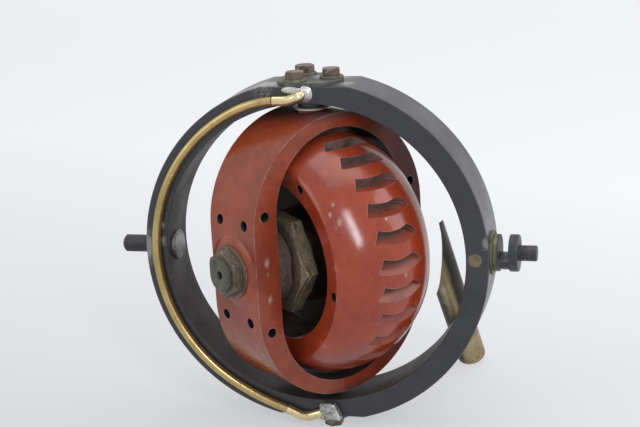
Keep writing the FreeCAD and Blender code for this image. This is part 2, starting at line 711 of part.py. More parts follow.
wheel = new_body("rotor_wheel")
half = new_sketch(wheel, "XZ_Plane", "wheel_section")
edge_start = rim_half - 1.6
edge_middle = (rim_half - 0.45, rim_height(rim_half) + 0.35)
edge_end = (rim_half, rim_height(rim_half) - 1.0)
right_side = [
    ("line", (edge_start, rim_height(edge_start)), edge_middle),
    ("line", edge_middle, edge_end),
    ("line", edge_end, (RIM_FACE, recess)),
    ("line", (RIM_FACE, recess), (8.0, 31.0)),
    ("line", (8.0, 31.0), (8.0, 20.0)),
    ("line", (8.0, 20.0), (HUB_FACE, 20.0)),
    ("line", (HUB_FACE, 20.0), (HUB_FACE, HUB_BORE)),
]
left_side = []
for step in reversed(right_side):
    mirrored = [(-x, r) for x, r in reversed(step[1:])]
    left_side.append((step[0], *mirrored))
chain(half, right_side + [("line", (HUB_FACE, HUB_BORE), (-HUB_FACE, HUB_BORE))] + left_side + [
    ("arc", (-edge_start, rim_height(edge_start)), (0, crown),
     (edge_start, rim_height(edge_start)))])
feature(wheel, "Revolution", "wheel_turn", half, ReferenceAxis=(half, ["H_Axis"]), Angle=360.0)

balance = new_sketch(wheel, "YZ_Plane", "balance_holes", lift(-rim_half))
for angle in (63.4, -5.5):
    a = math.radians(angle)
    circle(balance, -40.3 * math.cos(a), 40.3 * math.sin(a), 2.1)
feature(wheel, "Pocket", "balance_holes_cut", balance, Length=8.0, Reversed=True)

# One bucket: its outline lies on its sloping floor, which starts at the rim's surface and
# is deepest under the curved upper wall. It is milled outward through the rim and then
# repeated round the wheel.

slope = math.radians(D["bucket_slope"])
start_angle = math.radians(D["bucket_start"])
floor_start = V(0, crown * math.sin(start_angle), crown * math.cos(start_angle))
floor_place = FreeCAD.Placement(floor_start, FreeCAD.Rotation(X_AXIS, -D["bucket_slope"]))


def bucket_point(x, angle):
    # A point of the outline, given along the axle and as an angle round the rim's crown
    across = crown * math.sin(math.radians(angle))
    return (x, (across - floor_start.y) / math.cos(slope))


corner = bucket_point(-7.5, 0.0)
dip = bucket_point(-0.8, -1.7)
peak = bucket_point(7.4, -0.2)
tip = bucket_point(13.4, -4.6)
low_right = bucket_point(15.6, -10.5)
low_left = bucket_point(-12.3, -10.5)
bucket = new_sketch(wheel, "XY_Plane", "bucket_outline", floor_place)
chain(bucket, [
    ("arc", corner, dip, peak),
    ("line", peak, tip),
    ("line", tip, low_right),
    ("line", low_right, low_left),
    ("line", low_left, corner),
])
scoop = feature(wheel, "Pocket", "bucket_cut", bucket, Length=12.0, UseCustomVector=True,
                Direction=Z_AXIS)
buckets = wheel.newObject("PartDesign::PolarPattern", "all_buckets")
buckets.Originals = [scoop]
x_axis = [f for f in wheel.Origin.OriginFeatures if f.Role == "X_Axis"][0]
buckets.Axis = (x_axis, [""])
buckets.Angle = 360
buckets.setExpression("Occurrences", "dims.bucket_count")
wheel.Tip = buckets
doc.recompute()
keep(wheel, "rotor_wheel", spin_place)

tip_radius = 0.4
cone_end = cone_top - tip_radius
axle_half = [
    (cone_end, tip_radius), (D["cone_start"], D["journal_radius"]),
    (26.6, D["journal_radius"]), (26.6, HUB_BORE)]
turned("rotor_axle", [(-cone_end, 0)] + [(-x, r) for x, r in axle_half]
       + axle_half[::-1] + [(cone_end, 0)], "H_Axis", spin_place)

for side, turn in (("far", 0), ("near", 180)):
    place = spin_place.multiply(FreeCAD.Placement(V(), FreeCAD.Rotation(Z_AXIS, turn)))
    for label, start, thick in (("hub_nut", HUB_FACE, 4.3), ("hub_lock_nut", 23.1, 2.3)):
        name = side + "_" + label
        nut = new_body(name)
        hex_face = new_sketch(nut, "YZ_Plane", name + "_face", lift(start))
        hexagon(hex_face, D["hub_nut_corner"], 0)
        circle(hex_face, 0, 0, HUB_BORE)
        feature(nut, "Pad", name + "_pad", hex_face, Length=thick)
        inside = D["hub_nut_corner"] * math.cos(math.radians(30)) - 0.2
        outside = D["hub_nut_corner"] + 0.5
        fall = NUT_CHAMFER_SLOPE * (outside - inside)
        revolve(nut, name + "_chamfer", [
            [(start + thick, inside), (start + thick, outside), (start + thick - fall, outside)],
        ], "H_Axis", kind="Groove")
        keep(nut, name, place)

# Every object must have built, and every piece must be a sound solid

doc.recompute()
for obj in doc.Objects:
    if "Invalid" in obj.State or "Error" in obj.State:
        raise RuntimeError("%s did not build: %s" % (obj.Label, obj.State))
os.makedirs("parts", exist_ok=True)
for obj in NODES:
    shape = obj.Shape
    if shape.isNull() or not shape.isValid() or not shape.Solids:
        raise RuntimeError("%s is not a sound solid" % obj.Label)
    shape.exportStep("parts/%s.step" % obj.Label)
    print("%-22s %3d solid %9.1f mm3" % (obj.Label, len(shape.Solids), shape.Volume))
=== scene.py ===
import json
import math

import bpy
from mathutils import Matrix, Vector

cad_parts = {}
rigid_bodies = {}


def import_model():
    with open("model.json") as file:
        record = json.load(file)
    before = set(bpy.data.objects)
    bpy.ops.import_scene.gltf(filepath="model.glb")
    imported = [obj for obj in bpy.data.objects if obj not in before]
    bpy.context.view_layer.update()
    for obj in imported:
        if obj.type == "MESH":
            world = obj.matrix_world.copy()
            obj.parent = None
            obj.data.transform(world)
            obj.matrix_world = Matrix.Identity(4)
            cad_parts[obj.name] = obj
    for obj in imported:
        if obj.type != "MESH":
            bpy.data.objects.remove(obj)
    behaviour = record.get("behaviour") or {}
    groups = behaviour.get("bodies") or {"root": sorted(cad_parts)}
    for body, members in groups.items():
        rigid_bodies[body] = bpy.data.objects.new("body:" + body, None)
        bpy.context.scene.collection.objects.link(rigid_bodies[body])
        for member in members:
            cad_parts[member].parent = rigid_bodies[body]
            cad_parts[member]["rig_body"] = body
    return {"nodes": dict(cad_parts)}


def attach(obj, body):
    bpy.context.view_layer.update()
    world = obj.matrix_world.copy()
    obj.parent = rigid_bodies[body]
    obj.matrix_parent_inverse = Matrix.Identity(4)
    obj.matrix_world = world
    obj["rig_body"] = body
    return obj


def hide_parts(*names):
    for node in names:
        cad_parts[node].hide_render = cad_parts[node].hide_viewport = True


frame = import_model()
for spare in list(bpy.context.scene.objects):
    if "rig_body" not in spare and not spare.name.startswith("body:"):
        bpy.data.objects.remove(spare)
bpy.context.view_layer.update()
NODES = frame["nodes"]

# Sizes in millimetres, as in the part. Pieces are modelled in millimetres and brought to
# metres when they are set down in their place.

RING_OUTER = 75.0
RING_INNER = 65.35
HALF_DEPTH = 12.1
RING_FRONT = -HALF_DEPTH
RING_FLAT = 72.6
CAP_RADIUS = 14.0
CAP_THICK = 1.6
WASHER_THICK = 1.1
BOLT_CIRCLE = 9.0
BOLT_CORNER = 4.15
BOLT_HEAD = 3.1
PIPE_RADIUS = 1.85
PIPE_Y = RING_FRONT - PIPE_RADIUS - 0.02
GIMBAL_ANGLE = 52.87
WHEEL_TURN = 4.86
HALF_WIDTH = 15.65
GIMBAL_ARC = 44.6
GIMBAL_CENTRE = 16.5
OPENING_ARC = 33.1
OPENING_CENTRE = 22.1
BOSS_RADIUS = 16.6
BOSS_OUTER = 46.2
BOSS_INNER = 27.0
WHEEL_CROWN = 53.25
RIM_ARC = 36.0
RIM_HALF = 24.6
RIM_FACE = 22.9
RECESS = 34.0
HUB_FACE = 18.8
HUB_BORE = 8.0
BUCKETS = 28
BUCKET_SLOPE = 35.0
BUCKET_START = -8.0
FLOOR = -77.7

GIMBAL_PLACE = Matrix.Rotation(math.radians(GIMBAL_ANGLE), 4, "Z")
WHEEL_PLACE = GIMBAL_PLACE @ Matrix.Rotation(math.radians(WHEEL_TURN), 4, "X")


# Bench tools

def put_down_all():
    if bpy.context.object and bpy.context.object.mode != "OBJECT":
        bpy.ops.object.mode_set(mode="OBJECT")
    bpy.ops.object.select_all(action="DESELECT")


def pick_up(piece):
    put_down_all()
    piece.select_set(True)
    bpy.context.view_layer.objects.active = piece


def named(name):
    piece = bpy.context.object
    piece.name = name
    piece.data.name = name
    return piece


def pencil(name, start):
    # A single point in edit mode, ready to be drawn out into a line
    put_down_all()
    bpy.ops.mesh.primitive_plane_add(size=1.0)
    piece = named(name)
    bpy.ops.object.mode_set(mode="EDIT")
    bpy.ops.mesh.select_all(action="SELECT")
    bpy.ops.mesh.merge(type="CENTER")
    bpy.ops.transform.translate(value=start)
    return piece


def draw(start, points):
    here = Vector(start)
    for point in points:
        step = Vector(point) - here
        bpy.ops.mesh.extrude_region_move(TRANSFORM_OT_translate={"value": step})
        here = Vector(point)


def close_up(piece):
    bpy.ops.mesh.select_all(action="SELECT")
    bpy.ops.mesh.remove_doubles(threshold=0.001)
    bpy.ops.mesh.normals_make_consistent(inside=False)
    bpy.ops.object.mode_set(mode="OBJECT")
    return piece


def on_lathe(along, radius, axis):
    if axis == "X":
        return (along, 0, radius)
    if axis == "Y":
        return (radius, along, 0)
    return (radius, 0, along)


def turned(name, profile, axis, steps=64):
    # A lathe turned piece from its half profile of (along the axis, radius)
    spots = [on_lathe(along, radius, axis) for along, radius in profile]
    piece = pencil(name, spots[0])
    draw(spots[0], spots[1:])
    bpy.ops.mesh.select_all(action="SELECT")
    direction = {"X": (1, 0, 0), "Y": (0, 1, 0), "Z": (0, 0, 1)}[axis]
    bpy.ops.mesh.spin(steps=steps, angle=math.tau, center=(0, 0, 0), axis=direction)
    return close_up(piece)


def slab(name, start, points, push):
    # A flat outline filled and pushed out into a solid
    piece = pencil(name, start)
    draw(start, points)
    bpy.ops.mesh.select_all(action="SELECT")
    bpy.ops.mesh.remove_doubles(threshold=0.001)
    bpy.ops.mesh.select_all(action="SELECT")
    bpy.ops.mesh.edge_face_add()
    bpy.ops.mesh.extrude_region_move(TRANSFORM_OT_translate={"value": push})
    return close_up(piece)


def apply_modifier(piece, modifier):
    pick_up(piece)
    bpy.ops.object.modifier_apply(modifier=modifier.name)
    return piece


def soften(piece, width, rounds=3, angle=35.0):
    edges = piece.modifiers.new("soft_edges", "BEVEL")
    edges.width = width
    edges.segments = rounds
    edges.limit_method = "ANGLE"
    edges.angle_limit = math.radians(angle)
    return apply_modifier(piece, edges)


def machine(piece, tool, how="DIFFERENCE"):
    joint = piece.modifiers.new("machined", "BOOLEAN")
    joint.operation = how
    joint.solver = "EXACT"
    joint.material_mode = "TRANSFER"
    joint.object = tool
    apply_modifier(piece, joint)
    bpy.data.objects.remove(tool)
    return piece


def saw(piece, spot, away):
    # Everything on the side that "away" points to is sawn off and the cut is closed
    pick_up(piece)
    bpy.ops.object.mode_set(mode="EDIT")
    bpy.ops.mesh.select_all(action="SELECT")
    bpy.ops.mesh.bisect(plane_co=spot, plane_no=away, use_fill=True, clear_outer=True)
    return close_up(piece)


def shift(piece, matrix):
    pick_up(piece)
    piece.matrix_world = matrix
    bpy.ops.object.transform_apply(location=True, rotation=True, scale=True)
    return piece


def copy_of(piece, name, matrix):
    pick_up(piece)
    bpy.ops.object.duplicate(linked=False)
    return shift(named(name), matrix)


def join(pieces, name):
    put_down_all()
    for piece in pieces:
        piece.select_set(True)
    bpy.context.view_layer.objects.active = pieces[0]
    bpy.ops.object.join()
    return named(name)


def polish(piece, angle=30.0, weighted=True):
    pick_up(piece)
    bpy.ops.object.shade_smooth_by_angle(angle=math.radians(angle))
    if weighted:
        normals = piece.modifiers.new("even_flats", "WEIGHTED_NORMAL")
        normals.keep_sharp = True
        apply_modifier(piece, normals)
    return piece


def set_down(piece, body, finish, stands_for=(), place=Matrix.Identity(4)):
    # From millimetres to metres, into its place, with its finish, riding on its body
    shift(piece, Matrix.Scale(0.001, 4) @ place)
    if finish is not None:
        piece.data.materials.clear()
        piece.data.materials.append(finish)
    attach(piece, body)
    if stands_for:
        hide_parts(*stands_for)
    return piece


# Shader tools

def tone(red, green, blue):
    # A colour as it looks on a screen, 0 to 255, as the numbers a shader takes
    parts = [c / 255 for c in (red, green, blue)]
    return tuple(c / 12.92 if c < 0.04 else ((c + 0.055) / 1.055) ** 2.4 for c in parts) + (1.0,)


def node(tree, kind, sockets=None, **settings):
    made = tree.nodes.new("ShaderNode" + kind)
    for key, value in settings.items():
        setattr(made, key, value)
    for key, value in (sockets or {}).items():
        if isinstance(value, bpy.types.NodeSocket):
            tree.links.new(value, made.inputs[key])
        else:
            made.inputs[key].default_value = value
    return made


def sum_of(tree, how, first, second, third=None):
    made = node(tree, "Math", operation=how)
    for i, value in enumerate((first, second, third)):
        if isinstance(value, bpy.types.NodeSocket):
            tree.links.new(value, made.inputs[i])
        elif value is not None:
            made.inputs[i].default_value = value
    return made.outputs[0]


def spread(tree, value, low, high, to_low=0.0, to_high=1.0):
    made = node(tree, "MapRange", {"Value": value, "From Min": low, "From Max": high,
                                   "To Min": to_low, "To Max": to_high})
    return made.outputs["Result"]


def blend(tree, share, first, second):
    made = node(tree, "Mix", data_type="RGBA")
    for i, value in ((0, share), (6, first), (7, second)):
        if isinstance(value, bpy.types.NodeSocket):
            tree.links.new(value, made.inputs[i])
        else:
            made.inputs[i].default_value = value
    return made.outputs[2]


def noise(tree, where, scale, detail=4.0, rough=0.55):
    made = node(tree, "TexNoise", {"Vector": where, "Scale": scale, "Detail": detail,
                                   "Roughness": rough})
    return made.outputs["Fac"]


def new_group(name, inputs, outputs):
    group = bpy.data.node_groups.new(name, "ShaderNodeTree")
    for label, value in inputs:
        socket = group.interface.new_socket(
            name=label, in_out="INPUT", socket_type="NodeSocketFloat")
        socket.default_value = value
    for label in outputs:
        group.interface.new_socket(name=label, in_out="OUTPUT", socket_type="NodeSocketFloat")
    inner = group.nodes.new("NodeGroupInput")
    outer = group.nodes.new("NodeGroupOutput")
    return group, inner.outputs, outer.inputs


def use_group(tree, group, **values):
    made = tree.nodes.new("ShaderNodeGroup")
    made.node_tree = group
    for label, value in values.items():
        socket = made.inputs[label.replace("_", " ").capitalize()]
        if isinstance(value, bpy.types.NodeSocket):
            tree.links.new(value, socket)
        else:
            socket.default_value = value
    return made.outputs


def edge_wear_group():
    # Where a corner is near, the surface's own direction differs from the rounded one
    group, given, result = new_group(
        "edge_wear", [("Reach", 0.0005), ("Patches", 180.0), ("Amount", 1.0)], ["Mask"])
    rounded = node(group, "Bevel", {"Radius": given["Reach"]}, samples=6)
    surface = node(group, "NewGeometry")
    same = node(group, "VectorMath", {0: rounded.outputs["Normal"],
                                      1: surface.outputs["Normal"]}, operation="DOT_PRODUCT")
    corner = spread(group, same.outputs["Value"], 0.985, 0.86)
    where = node(group, "TexCoord").outputs["Object"]
    patches = noise(group, where, given["Patches"], 6.0, 0.65)
    broken = spread(group, patches, 0.38, 0.62)
    worn = sum_of(group, "MULTIPLY", corner, broken)
    scaled = sum_of(group, "MULTIPLY", worn, given["Amount"])
    group.links.new(sum_of(group, "MINIMUM", scaled, 1.0), result["Mask"])
    return group


def mottle_group():
    # Cloudy variation in two sizes, about 0 to 1
    group, given, result = new_group("mottle", [("Scale", 60.0), ("Contrast", 0.5)], ["Value"])
    where = node(group, "TexCoord").outputs["Object"]
    broad = noise(group, where, given["Scale"], 3.0)
    fine = noise(group, where, sum_of(group, "MULTIPLY", given["Scale"], 7.0), 5.0, 0.65)
    both = sum_of(group, "MULTIPLY_ADD", fine, 0.4, sum_of(group, "MULTIPLY", broad, 0.6))
    centred = sum_of(group, "SUBTRACT", both, 0.5)
    strong = sum_of(group, "MULTIPLY_ADD", centred, sum_of(
        group, "MULTIPLY", given["Contrast"], 8.0), 0.5)
    held = sum_of(group, "MAXIMUM", sum_of(group, "MINIMUM", strong, 1.0), 0.0)
    group.links.new(held, result["Value"])
    return group


def scratch_group():
    # Fine hairlines in two directions, kept to some patches only
    group, given, result = new_group(
        "hairlines", [("Scale", 90.0), ("Thin", 0.012), ("Cover", 0.5)], ["Mask"])
    where = node(group, "TexCoord").outputs["Object"]
    lines = []
    for turn, stretch in (((0.3, 0.5, 0.2), (1.0, 9.0, 1.4)), ((0.9, 0.1, 1.2), (8.0, 1.0, 1.0))):
        turned_map = node(group, "Mapping", {"Vector": where, "Rotation": turn,
                                             "Scale": stretch})
        field = noise(group, turned_map.outputs[0], given["Scale"], 1.0, 0.4)
        off = sum_of(group, "ABSOLUTE", sum_of(group, "SUBTRACT", field, 0.5), 0.0)
        near = sum_of(group, "DIVIDE", off, given["Thin"])
        lines.append(sum_of(group, "MAXIMUM", sum_of(group, "SUBTRACT", 1.0, near), 0.0))
    either = sum_of(group, "MAXIMUM", lines[0], lines[1])
    patches = noise(group, where, 55.0, 3.0)
    level = sum_of(group, "SUBTRACT", 1.0, given["Cover"])
    here = sum_of(group, "GREATER_THAN", patches, level)
    group.links.new(sum_of(group, "MULTIPLY", either, here), result["Mask"])
    return group


def dust_group():
    # Dust and grease that lie on what faces up
    group, given, result = new_group("settled_dust", [("Amount", 0.4)], ["Mask"])
    surface = node(group, "NewGeometry")
    up = node(group, "SeparateXYZ", {0: surface.outputs["Normal"]}).outputs["Z"]
    flat = spread(group, up, 0.35, 1.0)
    where = node(group, "TexCoord").outputs["Object"]
    patches = spread(group, noise(group, where, 140.0, 6.0, 0.7), 0.35, 0.7)
    lying = sum_of(group, "MULTIPLY", flat, patches)
    group.links.new(sum_of(group, "MULTIPLY", lying, given["Amount"]), result["Mask"])
    return group


def spot_group():
    # A ragged patch round one place, given in millimetres
    group, given, result = new_group(
        "worn_spot", [("X", 0.0), ("Y", 0.0), ("Z", 0.0), ("Size", 2.0), ("Strength", 1.0)],
        ["Mask"])
    where = node(group, "TexCoord").outputs["Object"]
    place = node(group, "VectorMath", {0: where, "Scale": 1000.0}, operation="SCALE")
    centre = node(group, "CombineXYZ", {"X": given["X"], "Y": given["Y"], "Z": given["Z"]})
    offset = node(group, "VectorMath", {0: place.outputs[0], 1: centre.outputs[0]},
                  operation="SUBTRACT")
    tall = node(group, "VectorMath", {0: offset.outputs[0], 1: (1.0, 1.0, 0.55)},
                operation="MULTIPLY")
    gap = node(group, "VectorMath", {0: tall.outputs[0]}, operation="LENGTH").outputs["Value"]
    coarse = sum_of(group, "SUBTRACT", noise(group, where, 500.0, 5.0, 0.75), 0.5)
    fine = sum_of(group, "SUBTRACT", noise(group, where, 2200.0, 4.0, 0.7), 0.5)
    ragged = sum_of(group, "MULTIPLY_ADD", fine, 2.6, sum_of(group, "MULTIPLY", coarse, 1.6))
    reach = sum_of(group, "ADD", ragged, sum_of(group, "DIVIDE", gap, given["Size"]))
    patch = sum_of(group, "MULTIPLY", spread(group, reach, 1.0, 0.35), given["Strength"])
    group.links.new(patch, result["Mask"])
    return group


def reach_along(tree, direction, origin=(0, 0, 0)):
    # Millimetres from a point of the part along a direction
    where = node(tree, "TexCoord").outputs["Object"]
    start = tuple(value * 0.001 for value in origin)
    offset = node(tree, "VectorMath", {0: where, 1: start}, operation="SUBTRACT").outputs[0]
    step = node(tree, "VectorMath", {0: offset, 1: tuple(direction)}, operation="DOT_PRODUCT")
    return sum_of(tree, "MULTIPLY", step.outputs["Value"], 1000.0)


EDGE_WEAR = edge_wear_group()
MOTTLE = mottle_group()
HAIRLINES = scratch_group()
DUST = dust_group()
WORN_SPOT = spot_group()


def spots_on(tree, spots):
    share = None
    for x, y, z, size, strength in spots:
        here = use_group(tree, WORN_SPOT, x=x, y=y, z=z, size=size, strength=strength)["Mask"]
        share = here if share is None else sum_of(tree, "MAXIMUM", share, here)
    return share


def new_finish(name):
    finish = bpy.data.materials.new(name)
    finish.use_nodes = True
    tree = finish.node_tree
    shader = tree.nodes["Principled BSDF"]
    return finish, tree, shader


def surface_relief(tree, shader, height, depth):
    bump = node(tree, "Bump", {"Height": height, "Distance": depth, "Strength": 1.0})
    tree.links.new(bump.outputs["Normal"], shader.inputs["Normal"])


def painted(name, paint, shade, bare, rough=(0.25, 0.45), coat=0.3, wear=(0.0006, 1.0),
            cloud=60.0, contrast=0.5, lines=(90.0, 0.012, 0.45), dust=0.15,
            dust_tone=tone(150, 140, 128), relief=0.00003, line_share=0.35, spots=(),
            painted_shade=None):
    # Paint or enamel over metal: cloudy colour, hairlines, worn corners and settled dust, and
    # painted shade where a mask for it is given
    finish, tree, shader = new_finish(name)
    clouds = use_group(tree, MOTTLE, scale=cloud, contrast=contrast)["Value"]
    colour = blend(tree, clouds, shade, paint)
    # Painted shade: a darker tone laid over the paint by the given mask
    if painted_shade:
        make_mask, shadow_tone = painted_shade
        shaded = make_mask(tree, clouds)
        colour = blend(tree, shaded, colour, shadow_tone)
    hair = use_group(tree, HAIRLINES, scale=lines[0], thin=lines[1], cover=lines[2])["Mask"]
    hair_soft = sum_of(tree, "MULTIPLY", hair, line_share)
    colour = blend(tree, hair_soft, colour, bare)
    dusty = use_group(tree, DUST, amount=dust)["Mask"]
    colour = blend(tree, dusty, colour, dust_tone)
    worn = use_group(tree, EDGE_WEAR, reach=wear[0], amount=wear[1])["Mask"]
    if spots:
        worn = sum_of(tree, "MAXIMUM", worn, spots_on(tree, spots))
    colour = blend(tree, worn, colour, bare)
    tree.links.new(colour, shader.inputs["Base Color"])
    tree.links.new(sum_of(tree, "MULTIPLY", worn, 0.8), shader.inputs["Metallic"])
    gloss = spread(tree, clouds, 0.0, 1.0, rough[1], rough[0])
    gloss = sum_of(tree, "MULTIPLY_ADD", hair, 0.15, gloss)
    gloss = sum_of(tree, "MULTIPLY_ADD", dusty, 0.35, gloss)
    shader.inputs["Coat Weight"].default_value = coat
    shader.inputs["Coat Roughness"].default_value = 0.12
    if painted_shade:
        gloss = sum_of(tree, "MULTIPLY_ADD", shaded, 0.45, gloss)
        tree.links.new(sum_of(tree, "MULTIPLY_ADD", shaded, -coat, coat),
                       shader.inputs["Coat Weight"])
    tree.links.new(gloss, shader.inputs["Roughness"])
    where = node(tree, "TexCoord").outputs["Object"]
    peel = noise(tree, where, 420.0, 3.0)
    height = sum_of(tree, "SUBTRACT", peel, sum_of(tree, "MULTIPLY", hair, 0.6))
    surface_relief(tree, shader, height, relief)
    return finish


def metal(name, bright, dull, stain, rough=(0.25, 0.5), cloud=80.0, contrast=0.6,
          wear=(0.0004, 0.8), lines=(160.0, 0.015, 0.6), metallic=0.85, stain_cover=0.35,
          relief=0.00003, edge=None, dust=0.1, second=None):
    # Bare or tarnished metal: mottled tarnish, stains, hairlines and bright corners
    finish, tree, shader = new_finish(name)
    clouds = use_group(tree, MOTTLE, scale=cloud, contrast=contrast)["Value"]
    colour = blend(tree, clouds, dull, bright)
    if second:
        make_mask, second_tone = second
        colour = blend(tree, make_mask(tree, clouds), colour, second_tone)
    where = node(tree, "TexCoord").outputs["Object"]
    spots = noise(tree, where, cloud * 3.1, 6.0, 0.7)
    stained = spread(tree, spots, 0.62 - 0.3 * stain_cover, 0.7)
    stained = sum_of(tree, "MAXIMUM", sum_of(tree, "MINIMUM", stained, 1.0), 0.0)
    colour = blend(tree, stained, colour, stain)
    hair = use_group(tree, HAIRLINES, scale=lines[0], thin=lines[1], cover=lines[2])["Mask"]
    worn = use_group(tree, EDGE_WEAR, reach=wear[0], amount=wear[1])["Mask"]
    bared = sum_of(tree, "MAXIMUM", worn, sum_of(tree, "MULTIPLY", hair, 0.4))
    colour = blend(tree, bared, colour, edge or bright)
    dusty = use_group(tree, DUST, amount=dust)["Mask"]
    colour = blend(tree, dusty, colour, tone(140, 132, 120))
    tree.links.new(colour, shader.inputs["Base Color"])
    clean = sum_of(tree, "MULTIPLY_ADD", stained, -0.5 * metallic, metallic)
    tree.links.new(sum_of(tree, "MAXIMUM", clean, worn), shader.inputs["Metallic"])
    gloss = spread(tree, clouds, 0.0, 1.0, rough[1], rough[0])
    gloss = sum_of(tree, "MULTIPLY_ADD", stained, 0.2, gloss)
    gloss = sum_of(tree, "MULTIPLY_ADD", dusty, 0.3, gloss)
    tree.links.new(gloss, shader.inputs["Roughness"])
    pits = noise(tree, where, 600.0, 4.0, 0.6)
    height = sum_of(tree, "SUBTRACT", pits, sum_of(tree, "MULTIPLY", hair, 0.8))
    height = sum_of(tree, "MULTIPLY_ADD", stained, 0.5, height)
    surface_relief(tree, shader, height, relief)
    return finish


# Finishes

RING_SPOTS = [(-74.0, -12.0, 2.0, 4.5, 0.6), (-74.8, -6.0, -1.0, 6.0, 0.6),
              (-66.9, -12.0, 5.0, 1.3, 0.7), (-66.4, -12.0, 12.2, 1.0, 0.6),
              (73.8, -12.0, 7.2, 1.6, 0.5), (-17.5, -6.0, 72.6, 7.0, 0.9),
              (14.8, -5.0, 72.6, 5.0, 0.9), (12.0, 9.0, 72.6, 4.0, 0.6)]
GIMBAL_SPOTS = [(-11.1, -40.6, 5.6, 1.3, 0.65), (-11.0, -40.5, 0.5, 0.8, 0.25),
                (-10.9, -40.3, -10.3, 1.2, 0.6), (-12.0, -41.8, 24.6, 0.8, 0.7)]
WHEEL_SPOTS = [(37.0, -31.0, 22.5, 0.6, 0.8), (44.0, -30.0, -1.0, 1.1, 0.3),
               (16.4, -40.1, 26.3, 0.8, 0.5), (17.2, -37.9, 29.8, 0.7, 0.5),
               (18.6, -41.0, 20.5, 1.2, 0.4), (20.0, -40.4, 23.0, 1.2, 0.35),
               (21.0, -41.0, 18.5, 1.2, 0.3), (19.4, -42.0, 12.5, 0.7, 0.4),
               (15.2, -42.8, 10.0, 0.7, 0.4), (14.2, -33.0, 36.0, 0.7, 0.5),
               (12.0, -43.5, -36.0, 0.8, 0.5)]
SPIN_LINE = GIMBAL_PLACE @ Vector((1, 0, 0))


def bucket_deep_shade(tree, clouds):
    # Painted shade in the deep end of the buckets, by how far a place lies under the crown
    where = node(tree, "TexCoord").outputs["Object"]
    axial = node(tree, "VectorMath", {0: where, 1: tuple(SPIN_LINE)}, operation="PROJECT")
    radial = node(tree, "VectorMath", {0: where, 1: axial.outputs[0]}, operation="SUBTRACT")
    out = node(tree, "VectorMath", {0: radial.outputs[0]}, operation="LENGTH").outputs["Value"]
    x = reach_along(tree, SPIN_LINE)
    rise = sum_of(tree, "SUBTRACT", RIM_ARC ** 2, sum_of(tree, "MULTIPLY", x, x))
    crown = sum_of(tree, "ADD", sum_of(tree, "SQRT", rise, 0.0), WHEEL_CROWN - RIM_ARC)
    depth = sum_of(tree, "SUBTRACT", crown, sum_of(tree, "MULTIPLY", out, 1000.0))
    uneven = sum_of(tree, "MULTIPLY_ADD", clouds, 1.6, depth)
    return spread(tree, uneven, 2.6, 4.6, 0.0, 0.92)


ring_paint = painted(
    "ring_paint", tone(52, 53, 57), tone(38, 39, 42), tone(176, 172, 165),
    rough=(0.3, 0.46), coat=0.2, wear=(0.0005, 0.75), cloud=45.0, contrast=0.4,
    lines=(70.0, 0.008, 0.3), dust=0.16, dust_tone=tone(122, 116, 108), line_share=0.25,
    spots=RING_SPOTS)
ring_inside = painted(
    "ring_inside", tone(50, 45, 40), tone(36, 33, 30), tone(150, 140, 126),
    rough=(0.45, 0.6), coat=0.0, wear=(0.0005, 0.5), cloud=60.0, contrast=0.5,
    lines=(70.0, 0.008, 0.3), dust=0.15, dust_tone=tone(106, 98, 86), line_share=0.2)
cap_paint = painted(
    "cap_paint", tone(88, 88, 87), tone(58, 58, 56), tone(182, 178, 170),
    rough=(0.38, 0.55), coat=0.0, wear=(0.0004, 0.8), cloud=120.0, contrast=0.6, dust=0.35,
    spots=[(3.5, 3.0, 74.2, 4.0, 0.7)])


def far_side_painted_shade(tree, clouds):
    # Painted shade: the gimbal is darker on the side away from the nut with the small hole, a
    # painted dark reflection of the ring, and dark and dulled round the pivots, a painted shadow
    # under the ring
    across = reach_along(tree, SPIN_LINE)
    uneven = sum_of(tree, "MULTIPLY_ADD", clouds, 6.0, across)
    height = sum_of(tree, "ABSOLUTE", reach_along(tree, (0, 0, 1)), 0.0)
    pivot_shade = spread(tree, sum_of(tree, "MULTIPLY_ADD", clouds, 1.6, height), 58.4, 61.4, 0.0, 0.9)
    return sum_of(tree, "MAXIMUM", pivot_shade, spread(tree, uneven, 16.0, 36.0, 0.0, 0.9))


# The gimbal enamel carries painted shade on its far side and round the pivots
gimbal_enamel = painted(
    "gimbal_enamel", tone(152, 64, 34), tone(124, 48, 27), tone(206, 188, 168),
    rough=(0.18, 0.34), coat=0.06, wear=(0.0005, 0.9), cloud=50.0, contrast=0.6,
    lines=(80.0, 0.008, 0.3), dust=0.06, line_share=0.2, spots=GIMBAL_SPOTS,
    painted_shade=(far_side_painted_shade, tone(70, 32, 34)))
# Painted shade: the dark inside of the drilled holes
hole_painted_shade = painted(
    "hole_painted_shade", tone(44, 30, 26), tone(30, 22, 20), tone(90, 70, 60),
    rough=(0.5, 0.65), coat=0.0, wear=(0.0004, 0.3), cloud=90.0, dust=0.1)
# Painted shade: a darker copy of the enamel for the inside of the window
gimbal_inside_shade = painted(
    "gimbal_inside_shade", tone(58, 32, 30), tone(40, 22, 22), tone(120, 96, 86),
    rough=(0.5, 0.65), coat=0.0, wear=(0.0005, 0.5), cloud=70.0, contrast=0.6, dust=0.1)
boss_grey = metal(
    "boss_grey", tone(122, 100, 98), tone(84, 66, 64), tone(70, 48, 42),
    rough=(0.35, 0.5), metallic=0.55, stain_cover=0.5, edge=tone(180, 160, 150))
wheel_enamel = painted(
    "wheel_enamel", tone(158, 60, 31), tone(132, 46, 26), tone(214, 196, 180),
    rough=(0.12, 0.26), coat=0.16, wear=(0.00045, 0.7), cloud=55.0, contrast=0.55,
    lines=(85.0, 0.009, 0.34), dust=0.04, line_share=0.3, spots=WHEEL_SPOTS)
